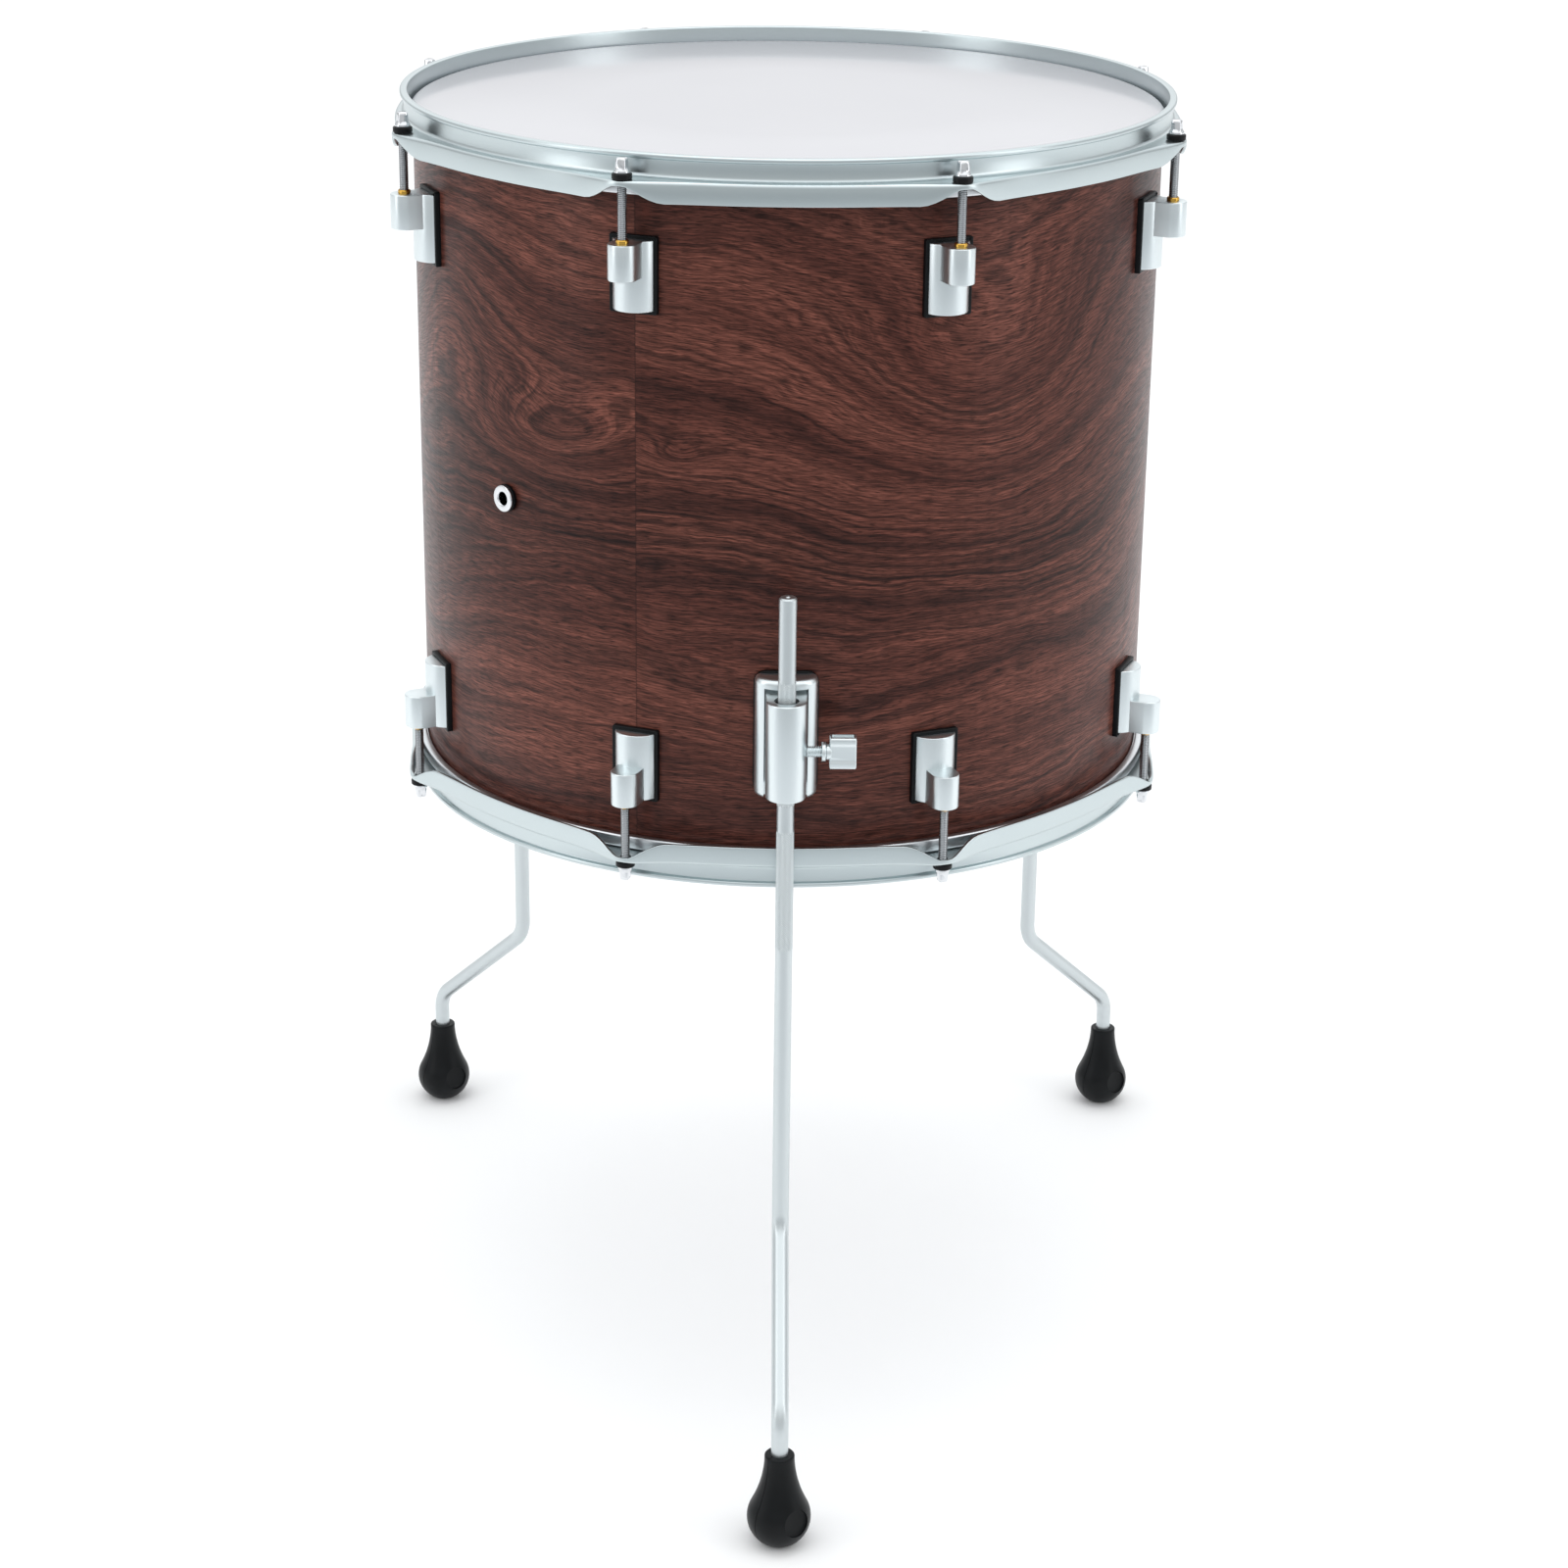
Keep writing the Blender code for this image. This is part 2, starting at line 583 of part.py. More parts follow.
def main():
    global parts, cutters, axis_empty
    clear_scene()
    parts = make_collection("floor_tom")
    cutters = make_collection("cutters")
    axis_empty = add_object("drum_axis", None, parts)
    axis_empty.location = (0.0, AXIS_Y, 0.0)
    make_materials()
    add_shell()
    add_vent()
    add_head("batter", down=False)
    add_head("resonant", down=True)
    add_legs()


main()
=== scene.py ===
"""Looks of the floor tom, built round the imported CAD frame.

Metres, +Z up, the front leg towards -Y. An azimuth is measured round the drum's axis from -Y,
positive towards +X. Local frames have their -Y side facing away from the drum's axis.
"""
import json
from math import asin, atan2, copysign, cos, degrees, exp, hypot, pi, radians, sin, tan

import bmesh
import bpy
from mathutils import Matrix, Vector


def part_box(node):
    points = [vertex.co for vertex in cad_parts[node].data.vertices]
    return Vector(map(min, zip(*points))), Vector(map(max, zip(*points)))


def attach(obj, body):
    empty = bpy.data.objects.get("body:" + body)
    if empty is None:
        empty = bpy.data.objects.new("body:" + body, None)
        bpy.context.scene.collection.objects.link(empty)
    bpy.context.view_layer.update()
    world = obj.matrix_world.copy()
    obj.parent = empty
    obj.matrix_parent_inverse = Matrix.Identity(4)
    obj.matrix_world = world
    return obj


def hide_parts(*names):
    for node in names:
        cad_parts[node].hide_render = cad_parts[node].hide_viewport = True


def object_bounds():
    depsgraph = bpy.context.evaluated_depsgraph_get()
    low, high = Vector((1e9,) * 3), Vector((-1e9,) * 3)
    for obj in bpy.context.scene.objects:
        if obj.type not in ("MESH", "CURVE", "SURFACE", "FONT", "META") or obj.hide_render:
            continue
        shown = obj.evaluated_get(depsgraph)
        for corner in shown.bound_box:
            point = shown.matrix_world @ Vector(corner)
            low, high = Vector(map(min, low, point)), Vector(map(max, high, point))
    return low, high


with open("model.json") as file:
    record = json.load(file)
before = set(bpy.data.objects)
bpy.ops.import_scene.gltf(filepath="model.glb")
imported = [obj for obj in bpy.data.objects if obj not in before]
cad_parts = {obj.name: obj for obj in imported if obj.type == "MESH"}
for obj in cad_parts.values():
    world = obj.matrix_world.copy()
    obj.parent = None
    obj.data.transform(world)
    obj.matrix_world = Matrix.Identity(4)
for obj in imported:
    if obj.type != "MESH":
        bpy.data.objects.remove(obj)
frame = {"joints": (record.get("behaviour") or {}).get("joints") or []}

cad_low, cad_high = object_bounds()
scene = bpy.context.scene

# ---- measures read from the frame
pivots = {joint["name"]: Vector(joint["pos_m"]) for joint in frame["joints"] if "pos_m" in joint}
LEGS = ("front", "rear_right", "rear_left")
LUG_COUNT = 8

shell_low, shell_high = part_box("shell")
AXIS = Vector(((shell_low.x + shell_high.x) / 2, (shell_low.y + shell_high.y) / 2, 0.0))
SHELL_RADIUS = (shell_high.x - shell_low.x) / 2
SHELL_TOP = shell_high.z
MIDDLE = (shell_low.z + shell_high.z) / 2
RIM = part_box("batter_hoop")[1].z
FILM_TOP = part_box("batter_head")[1].z
FLOOR = cad_low.z


def polar(point):
    """(azimuth, radius) of a point round the drum's axis."""
    reach = point - AXIS
    return atan2(reach.x, -reach.y), hypot(reach.x, reach.y)


ROD_CIRCLE = polar(pivots["batter_rod_turn_1"])[1]
LEG_CIRCLE = polar(pivots["leg_swivel_front"])[1]
lug_azimuths = [polar(pivots[f"batter_rod_turn_{i + 1}"])[0] for i in range(LUG_COUNT)]
leg_azimuths = {leg: polar(pivots[f"leg_swivel_{leg}"])[0] for leg in LEGS}
foot_low, foot_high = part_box("foot_front")
FOOT_CIRCLE = polar((foot_low + foot_high) / 2)[1]
FOOT_RADIUS = (foot_high.x - foot_low.x) / 2
FOOT_TOP = foot_high.z
leg_low, leg_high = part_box("leg_front")
LEG_RADIUS = (leg_high.x - leg_low.x) / 2
SCREW_HEIGHT = pivots["thumb_turn_front"].z

# ---- sizes of the finer shapes
CLEARANCE = 0.0002  # round a bar or a screw in its hole
SHELL_WALL = 0.0075
EDGE_INSET = 0.0024  # from the shell's outer face in to the crest of a bearing edge
VENT_HOLE_RADIUS = 0.0058
SCREW_HOLE_RADIUS = 0.0026
PLY = 0.0012
SEAM_AZIMUTH = radians(-22.5)  # where the ends of the veneer meet
HOOP_WALL_RADIUS = 0.2338  # outer face of the hoop's upright wall
HOOP_SHEET = 0.0023
HOOP_LEDGE_DROP = 0.0135  # rim to ledge
HOOP_SKIRT_RADIUS = 0.2386
HOOP_SKIRT_HEIGHT = 0.0125
EAR_REACH = 0.0126
EAR_SWELL = 0.023  # distance from an ear at which half its reach is left
EAR_FLAT = 0.003  # half width of the top of the arch under an ear
EAR_ARCH = 0.025  # half width of the whole arch
SEAT = RIM - HOOP_LEDGE_DROP - MIDDLE  # ledge above the middle of the shell
WASHER_HEIGHT = 0.0036
ROD_RADIUS = 0.0027
ROD_REACH = 0.0515
THREAD_PITCH = 0.001058
LUG_TOP = 0.1666  # mouth of a lug above the middle of the shell
LUG_HEIGHT = 0.0405
LUG_WIDTH = 0.025
LUG_DEPTH = 0.011
LUG_GASKET = 0.0028
BARREL_WIDTH = 0.0168
BARREL_HEIGHT = 0.0207
GAP = 0.0003
VENT_AZIMUTH = polar(sum(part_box("vent_grommet"), Vector()) / 2)[0]
bracket_low, bracket_high = (corner.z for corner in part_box("leg_bracket_front"))
BRACKET_WIDTH = 0.0365
BRACKET_EDGE = 0.006  # depth at the base's sides, with the gasket
BRACKET_BULGE = 0.0115  # how much further the base stands out in its middle
CHANNEL_GAP = 0.0009
CHANNEL_FLOOR = 0.0066  # depth of the base behind the clamp, with the gasket
CHANNEL_DROP = 0.0054  # from the base's top down to the channel's
BRACKET_GASKET = 0.0024
BRACKET_SCREW_INSET = 0.009  # from a bracket's ends to its screws
CLAMP_WIDTH = 0.0237
CLAMP_SHY = 0.0072  # the clamp's ends stand this far inside the base's
SLEEVE_RADIUS = 0.007
SCREW_RADIUS = 0.0033
UPPER_BEND_HEIGHT = 0.162
LOWER_BEND_HEIGHT = 0.083
BEND_RADIUS = 0.022
KNURL_ZONES = ((0.345, 0.4201), (0.436, 0.5117))
KNURL_DEPTH = 0.00022

ROUND_STEPS = 256  # facets round the drum
SMALL_STEPS = 48
CORNER_STEPS = 4
THREAD_STEPS = 24
RINGS_PER_TURN = 6
MERGE = 0.0000005


# ---- mesh helpers
def smooth(mesh, angle=38):
    mesh.shade_smooth()
    mesh.set_sharp_from_angle(angle=radians(angle))
    return mesh


def finished(work, name, angle=38):
    """The working mesh as a shaded mesh."""
    mesh = bpy.data.meshes.new(name)
    work.to_mesh(mesh)
    work.free()
    return smooth(mesh, angle)


def linked(name, data):
    """A new object of the scene, with its mesh, light or camera."""
    item = bpy.data.objects.new(name, data)
    scene.collection.objects.link(item)
    return item


def skin(name, rings, wrap=False, angle=38):
    """Join rings of points into one closed body, with a face at each end unless the rings wrap."""
    work = bmesh.new()
    rows = [[work.verts.new(point) for point in ring] for ring in rings]
    for this, following in zip(rows, rows[1:] + rows[:1] if wrap else rows[1:]):
        for i in range(len(this)):
            work.faces.new((this[i - 1], this[i], following[i], following[i - 1]))
    if not wrap:
        for row in (rows[0], rows[-1]):
            if (row[0].co - row[len(row) // 2].co).length > MERGE:
                work.faces.new(row)
    bmesh.ops.remove_doubles(work, verts=work.verts, dist=MERGE)
    bmesh.ops.recalc_face_normals(work, faces=work.faces)
    return finished(work, name, angle)


def round_point(radius, turn, height):
    """A point at an angle round Z, measured from -Y towards +X."""
    return (radius * sin(turn), -radius * cos(turn), height)


def circle(radius, height, steps):
    return [round_point(radius, 2 * pi * i / steps, height) for i in range(steps)]


def turned(name, profile, steps=SMALL_STEPS, hollow=False):
    """A (radius, height) profile turned about Z; a hollow one is a closed outline off the axis."""
    return skin(name, [circle(r, z, steps) for r, z in profile], hollow)


def rounded(corners, closed=True, steps=CORNER_STEPS):
    """An outline's points, from (x, y, radius) corners that are each turned through an arc."""
    points = []
    last = len(corners) - 1
    for i, (x, y, radius) in enumerate(corners):
        if radius == 0 or not closed and i in (0, last):
            points.append((x, y))
            continue
        here = Vector((x, y))
        back = Vector(corners[i - 1][:2]) - here
        ahead = Vector(corners[(i + 1) % len(corners)][:2]) - here
        half = back.angle(ahead) / 2
        reach = min(radius / tan(half), 0.49 * back.length, 0.49 * ahead.length)
        start = here + back.normalized() * reach
        end = here + ahead.normalized() * reach
        middle = (start + end) / 2
        centre = here + (middle - here) * (1 / cos(half) ** 2)
        sweep = (start - centre).angle_signed(end - centre)
        for step in range(steps + 1):
            turn = -sweep * step / steps
            arm = start - centre
            points.append((centre.x + arm.x * cos(turn) - arm.y * sin(turn),
                           centre.y + arm.x * sin(turn) + arm.y * cos(turn)))
    return points


def turned_solid(name, corners, steps=SMALL_STEPS):
    """A body turned from (radius, height, rounding) corners that start and end on the axis."""
    return turned(name, rounded(corners, closed=False), steps)


def turned_ring(name, corners, steps=SMALL_STEPS):
    """A ring turned from the (radius, height, rounding) corners of its section."""
    return turned(name, rounded(corners), steps, True)


def drill(radius, low, high, steps=SMALL_STEPS):
    """A plain cylinder along Z, used as a cutter."""
    return turned("drill", [(radius, low), (radius, high)], steps)


def threaded_rod(tip, low, high, shoulder, end, pitch, crest, depth, fullness):
    """A rod along Z: a flat tip, a thread from low to high, and a plain part from shoulder to end.

    The fuller the thread is, the wider are the flats on its crests.
    """
    rings = [circle(0.0, tip, THREAD_STEPS), circle(crest - depth - 0.0004, tip, THREAD_STEPS)]
    for row in range(int((high - low) / pitch * RINGS_PER_TURN) + 1):
        height = low + row * pitch / RINGS_PER_TURN
        ring = []
        for i in range(THREAD_STEPS):
            phase = (row / RINGS_PER_TURN + i / THREAD_STEPS) % 1.0
            radius = crest - depth + depth * min(abs(2.0 * phase - 1.0) * fullness, 1.0)
            ring.append(round_point(radius, 2 * pi * i / THREAD_STEPS, height))
        rings.append(ring)
    rings += [circle(crest, z, THREAD_STEPS) for z in (shoulder, end)]
    rings.append(circle(0.0, end, THREAD_STEPS))
    return skin("threaded_rod", rings, angle=70)


def arc(centre_x, centre_y, radius, start, end, steps):
    """Points of an arc, with the angles in degrees from +X."""
    angles = [radians(start + (end - start) * i / steps) for i in range(steps + 1)]
    return [(centre_x + radius * cos(a), centre_y + radius * sin(a)) for a in angles]


def inset(outline, distance):
    """An anticlockwise outline moved inwards by a distance."""
    moved = []
    for i, point in enumerate(outline):
        here = Vector(point)
        back = (here - Vector(outline[i - 1])).normalized()
        ahead = (Vector(outline[(i + 1) % len(outline)]) - here).normalized()
        normal_back = Vector((-back.y, back.x))
        normal_ahead = Vector((-ahead.y, ahead.x))
        push = (normal_back + normal_ahead) / (1 + normal_back.dot(normal_ahead))
        moved.append(here + push * distance)
    return moved


def block(name, outline, low, high, low_round, high_round, steps=CORNER_STEPS):
    """A flat outline raised from low to high, with rounded edges round both ends."""
    rings = []
    for step in range(steps + 1):
        turn = pi / 2 * step / steps
        level = inset(outline, low_round * (1 - sin(turn)))
        rings.append([(x, y, low + low_round * (1 - cos(turn))) for x, y in level])
        if low_round == 0:
            break
    for step in range(steps, -1, -1) if high_round else (steps,):
        turn = pi / 2 * step / steps
        level = inset(outline, high_round * (1 - sin(turn)))
        rings.append([(x, y, high - high_round * (1 - cos(turn))) for x, y in level])
    return skin(name, rings)


def box_outline(width, height, radius, centre=(0.0, 0.0)):
    x, y = centre
    w, h = width / 2, height / 2
    return rounded([(x - w, y - h, radius), (x + w, y - h, radius),
                    (x + w, y + h, radius), (x - w, y + h, radius)])


def moved(mesh, *matrices):
    for matrix in matrices:
        mesh.transform(matrix)
    return mesh


def joined(name, meshes):
    """Several separate bodies as one mesh."""
    work = bmesh.new()
    for mesh in meshes:
        work.from_mesh(mesh)
    return finished(work, name)


def cut(*meshes):
    return [("DIFFERENCE", mesh) for mesh in meshes]


def add(*meshes):
    return [("UNION", mesh) for mesh in meshes]


def combined(name, base, tools, angle=38):
    """The base mesh with each (operation, tool mesh) pair worked in by a Boolean."""
    item = linked(name + "_base", base)
    helpers = [item]
    for number, (operation, mesh) in enumerate(tools):
        helpers.append(linked(f"{name}_tool_{number}", mesh))
        boolean = item.modifiers.new(f"step_{number}", "BOOLEAN")
        boolean.operation = operation
        boolean.solver = "EXACT"
        boolean.object = helpers[-1]
    bpy.context.view_layer.update()
    graph = bpy.context.evaluated_depsgraph_get()
    result = bpy.data.meshes.new_from_object(item.evaluated_get(graph))
    result.name = name
    for helper in helpers:
        bpy.data.objects.remove(helper, do_unlink=True)
    return smooth(result, angle)


def shift(x, y, z):
    return Matrix.Translation((x, y, z))


FACE_OUT = Matrix.Rotation(pi / 2, 4, "X")  # +Z turned to the local -Y, away from the axis
TO_RIGHT = Matrix.Rotation(pi / 2, 4, "Y")  # +Z turned to +X


def stand(azimuth, radius, height, upside_down=False):
    """A place in the row frame, with its local -Y side facing out."""
    spot = AXIS + Vector(round_point(radius, azimuth, height))
    place = Matrix.Translation(spot) @ Matrix.Rotation(azimuth, 4, "Z")
    return place @ Matrix.Rotation(pi, 4, "Y") if upside_down else place


def piece(name, mesh, material, body, place, slot=None, stands_for=None):
    """One piece of the visual model, riding on its body and standing for a node of the frame."""
    if not mesh.materials:
        mesh.materials.append(material)
    item = linked(name, mesh)
    item.matrix_world = place
    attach(item, body)
    if stands_for:
        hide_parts(stands_for)


# ---- material helpers
def surface(name, settings):
    """A new node material and its shader, with the shader's fixed values."""
    material = bpy.data.materials.new(name)
    material.use_nodes = True
    shader = material.node_tree.nodes["Principled BSDF"]
    for socket, value in settings.items():
        shader.inputs[socket].default_value = value
    return material, shader


def node(m, kind, inputs=(), **settings):
    """A shader node; an input is a fixed value or the socket that feeds it."""
    made = m.node_tree.nodes.new("ShaderNode" + kind)
    for key, value in settings.items():
        setattr(made, key, value)
    for key, value in dict(inputs).items():
        if isinstance(value, bpy.types.NodeSocket):
            m.node_tree.links.new(value, made.inputs[key])
        else:
            made.inputs[key].default_value = value
    return made


def maths(m, operation, first, second=0.0, third=0.0, clamp=False):
    made = node(m, "Math", {0: first, 1: second, 2: third}, operation=operation, use_clamp=clamp)
    return made.outputs[0]


def spread(m, value, low, high, to_low=0.0, to_high=1.0):
    """The value taken from one range to another, and held at its ends."""
    return node(m, "MapRange", {"Value": value, "From Min": low, "From Max": high, "To Min": to_low,
                                "To Max": to_high}, clamp=True).outputs[0]


def times(m, first, second):
    return maths(m, "MULTIPLY", first, second)


def minus(m, first, second):
    return maths(m, "SUBTRACT", first, second)


def fade(m, square):
    """1 at 0, falling smoothly towards 0 as a squared distance grows."""
    return maths(m, "POWER", exp(1.0), times(m, square, -1.0))


def blend(m, share, first, second):
    return node(m, "Mix", {0: share, 6: first, 7: second}, data_type="RGBA").outputs[2]


def noise(m, vector, scale, detail=2.0, roughness=0.5, dimensions="3D"):
    return node(m, "TexNoise", {"Vector": vector, "Scale": scale, "Detail": detail, "Roughness": roughness},
                noise_dimensions=dimensions).outputs["Fac"]


def stretched(m, x, y):
    return node(m, "CombineXYZ", {0: x, 1: y}).outputs[0]


def object_place(m):
    return node(m, "TexCoord").outputs["Object"]


def feed(m, shader, socket, value):
    m.node_tree.links.new(value, shader.inputs[socket])


def feed_bump(m, shader, height, strength, distance):
    bump = node(m, "Bump", {"Height": height, "Strength": strength, "Distance": distance})
    feed(m, shader, "Normal", bump.outputs[0])


def rgb(*levels):
    """Linear colour of an 8-bit screen colour."""
    shares = [level / 255 for level in levels]
    return (*(v / 12.92 if v <= 0.04045 else ((v + 0.055) / 1.055) ** 2.4 for v in shares), 1.0)


# ---- materials
# Swirls in the veneer: azimuth in degrees, height above the shell's middle, half width, half height,
# and how far the growth lines are pushed.
SWIRLS = (
    (30, 0.085, 0.098, 0.088, 0.095), (9, -0.002, 0.035, 0.03, 0.01), (-36, 0.047, 0.046, 0.02, 0.042),
    (-16.4, 0.044, 0.016, 0.008, 0.014), (-62, 0.11, 0.07, 0.06, -0.06), (-33, -0.035, 0.06, 0.02, -0.012),
    (8, -0.11, 0.11, 0.04, 0.024), (-75, -0.08, 0.08, 0.045, 0.03), (84, -0.05, 0.06, 0.06, -0.04),
    (112, 0.06, 0.09, 0.06, 0.07), (150, -0.06, 0.07, 0.028, 0.045), (190, 0.05, 0.12, 0.05, -0.055),
    (232, -0.03, 0.07, 0.026, 0.042), (262, 0.11, 0.09, 0.06, 0.05),
)
# The darkest growth lines: height above the shell's middle before the swirls, half thickness and
# strength.
GROWTH_LINES = (
    (0.106, 0.0012, 0.5), (0.083, 0.003, 0.6), (0.07, 0.001, 0.5), (0.06, 0.0012, 0.6),
    (0.05, 0.001, 0.5), (0.042, 0.0014, 0.7), (0.034, 0.0009, 0.6), (0.0275, 0.0014, 0.8),
    (0.019, 0.0046, 0.9), (0.0125, 0.0008, 0.6), (0.008, 0.0019, 0.9), (0.003, 0.0008, 0.6),
    (-0.001, 0.0024, 0.95), (-0.006, 0.0008, 0.6), (-0.0095, 0.0014, 0.8), (-0.0145, 0.0024, 0.95),
    (-0.0205, 0.001, 0.7), (-0.025, 0.0012, 0.7), (-0.03, 0.0026, 0.85), (-0.037, 0.0026, 0.75),
    (-0.044, 0.001, 0.6), (-0.052, 0.0012, 0.5), (-0.064, 0.001, 0.5), (-0.08, 0.003, 0.5),
)
# Knots: azimuth in degrees, height above the shell's middle and size.
KNOTS = ((-0.8, 0.09, 0.0022), (18, 0.03, 0.002), (-5, -0.02, 0.0022), (34, -0.025, 0.0026),
         (130, 0.03, 0.003), (215, -0.09, 0.003))


def round_the_shell(azimuth):
    """The veneer's own coordinate of an azimuth: its ends meet at the seam."""
    turn = azimuth - SEAM_AZIMUTH
    return (turn % (2 * pi) - pi) * SHELL_RADIUS


def veneer_place(m):
    """(azimuth, distance along the veneer, height); the veneer's two ends meet at the seam."""
    turned_place = node(m, "VectorRotate", {"Vector": object_place(m), "Angle": pi - SEAM_AZIMUTH},
                        rotation_type="Z_AXIS")
    split = node(m, "SeparateXYZ", {0: turned_place.outputs[0]})
    azimuth = maths(m, "ARCTAN2", split.outputs[0], times(m, split.outputs[1], -1.0))
    return azimuth, times(m, azimuth, SHELL_RADIUS), split.outputs[2]


def oval(m, along, height, azimuth, up, half_width, half_height):
    """1 in the middle of an oval on the shell, fading to 0 past its edge."""
    aside = maths(m, "DIVIDE", minus(m, along, round_the_shell(radians(azimuth))), half_width)
    above = maths(m, "DIVIDE", minus(m, height, MIDDLE + up), half_height)
    return fade(m, maths(m, "MULTIPLY_ADD", aside, aside, times(m, above, above)))


def growth_height(m, along, height):
    """The height, pushed about so that its levels run like growth lines round the swirls."""
    drift = noise(m, stretched(m, along, times(m, height, 2.2)), 4.5, 2.0, 0.45, "2D")
    line = maths(m, "MULTIPLY_ADD", minus(m, drift, 0.5), 0.04, height)
    ripple = noise(m, stretched(m, along, times(m, height, 2.6)), 26.0, 2.0, 0.5, "2D")
    line = maths(m, "MULTIPLY_ADD", minus(m, ripple, 0.5), 0.01, line)
    for azimuth, up, half_width, half_height, push in SWIRLS:
        swirl = oval(m, along, height, azimuth, up, half_width, half_height)
        line = maths(m, "MULTIPLY_ADD", swirl, push, line)
    return line


def streaks(m, along, across, along_scale, across_scale, detail, roughness):
    """Noise drawn out along the grain."""
    vector = stretched(m, times(m, along, along_scale), times(m, across, across_scale))
    return noise(m, vector, 1.0, detail, roughness, "2D")


def growth_lines(m, along, line):
    """How dark the veneer's lines are: the chosen ones, and finer ones between them, with breaks."""
    breaks = spread(m, streaks(m, along, line, 12.0, 60.0, 2.0, 0.5), 0.34, 0.6, 0.55, 1.0)
    dark = spread(m, streaks(m, along, line, 3.0, 160.0, 2.0, 0.5), 0.56, 0.66, 0.0, 0.55)
    for up, half_thickness, strength in GROWTH_LINES:
        away = maths(m, "DIVIDE", minus(m, line, MIDDLE + up), half_thickness)
        dark = maths(m, "MAXIMUM", dark, times(m, fade(m, times(m, away, away)), strength))
    return times(m, dark, breaks)


def knot_marks(m, along, height):
    marks = 0.0
    for azimuth, up, size in KNOTS:
        marks = maths(m, "ADD", marks, oval(m, along, height, azimuth, up, size * 1.8, size))
    return maths(m, "MULTIPLY", marks, 0.7, clamp=True)


def walnut_material():
    """Veneer: dark growth lines round swirls, fibres, pores, small knots and a seam."""
    m, shader = surface("walnut_veneer", {"IOR": 1.25})
    azimuth, along, height = veneer_place(m)
    line = growth_height(m, along, height)
    # the fibres bend only part of the way with the growth lines
    follow = maths(m, "MULTIPLY_ADD", minus(m, line, height), 0.35, height)
    broad = spread(m, streaks(m, along, line, 2.0, 36.0, 3.0, 0.55), 0.34, 0.66)
    fine = spread(m, streaks(m, along, line, 6.0, 300.0, 3.0, 0.65), 0.4, 0.62)
    grain = spread(m, streaks(m, along, follow, 60.0, 1100.0, 3.0, 0.6), 0.34, 0.66)
    hairs = spread(m, streaks(m, along, follow, 110.0, 2300.0, 2.0, 0.6), 0.3, 0.7)
    pores = spread(m, streaks(m, along, follow, 120.0, 1900.0, 1.0, 0.6), 0.56, 0.7)

    tone = blend(m, broad, rgb(80, 44, 37), rgb(116, 69, 58))
    tone = blend(m, times(m, fine, 0.5), tone, rgb(54, 30, 26))
    tone = blend(m, times(m, growth_lines(m, along, line), 0.94), tone, rgb(24, 14, 14))
    shade = times(m, spread(m, grain, 0.0, 1.0, 0.6, 1.55), spread(m, hairs, 0.0, 1.0, 0.75, 1.25))
    shade = times(m, shade, spread(m, pores, 0.0, 1.0, 1.0, 0.36))
    tone = node(m, "VectorMath", {0: tone, "Scale": shade}, operation="SCALE").outputs[0]
    tone = blend(m, knot_marks(m, along, height), tone, rgb(30, 18, 16))
    off_seam = minus(m, pi, maths(m, "ABSOLUTE", azimuth))
    tone = blend(m, spread(m, off_seam, 0.0, 0.0028, 0.55, 0.0), tone, rgb(34, 20, 18))
    feed(m, shader, "Base Color", tone)
    feed(m, shader, "Roughness", spread(m, grain, 0.0, 1.0, 0.36, 0.28))
    feed_bump(m, shader, minus(m, grain, pores), 0.25, 0.00008)
    return m


def plywood_material():
    """The shell's edges and inside: pale plies seen as rings, under a clear seal."""
    m, shader = surface("shell_plies", {"Roughness": 0.5, "Coat Weight": 0.15})
    place = object_place(m)
    split = node(m, "SeparateXYZ", {0: place})
    radius = node(m, "VectorMath", {0: stretched(m, split.outputs[0], split.outputs[1])},
                  operation="LENGTH").outputs["Value"]
    ply = maths(m, "PINGPONG", times(m, radius, 1 / PLY), 1.0)
    azimuth = maths(m, "ARCTAN2", split.outputs[0], split.outputs[1])
    grain = streaks(m, azimuth, split.outputs[2], 6.0, 420.0, 3.0, 0.6)
    plies = blend(m, ply, rgb(196, 160, 118), rgb(150, 106, 72))
    feed(m, shader, "Base Color", blend(m, times(m, grain, 0.7), plies, rgb(214, 184, 142)))
    feed_bump(m, shader, grain, 0.15, 0.0001)
    return m


def metal_material(name, colour, roughness, grain_scale, variation, bump):
    """Plated or bare metal: soft changes of tone and gloss, and a fine skin."""
    m, shader = surface(name, {"Metallic": 1.0})
    place = object_place(m)
    cloud = noise(m, place, grain_scale * 0.02, 3.0, 0.5)
    skin_grain = noise(m, place, grain_scale, 2.0, 0.6)
    darker = tuple(c * (1 - variation) for c in colour[:3]) + (1.0,)
    feed(m, shader, "Base Color", blend(m, cloud, colour, darker))
    feed(m, shader, "Roughness", maths(m, "MULTIPLY_ADD", minus(m, cloud, 0.5), variation, roughness))
    feed_bump(m, shader, skin_grain, bump, 0.00002)
    return m


def film_material():
    """Smooth white polyester film with a faint haze in its gloss."""
    m, shader = surface("white_film", {"IOR": 1.9})
    place = object_place(m)
    haze = noise(m, place, 9.0, 3.0, 0.55)
    speck = noise(m, place, 700.0, 1.0, 0.5)
    feed(m, shader, "Base Color", blend(m, haze, rgb(190, 189, 194), rgb(185, 184, 189)))
    feed(m, shader, "Roughness", spread(m, haze, 0.3, 0.7, 0.1, 0.15))
    feed_bump(m, shader, speck, 0.05, 0.00002)
    return m


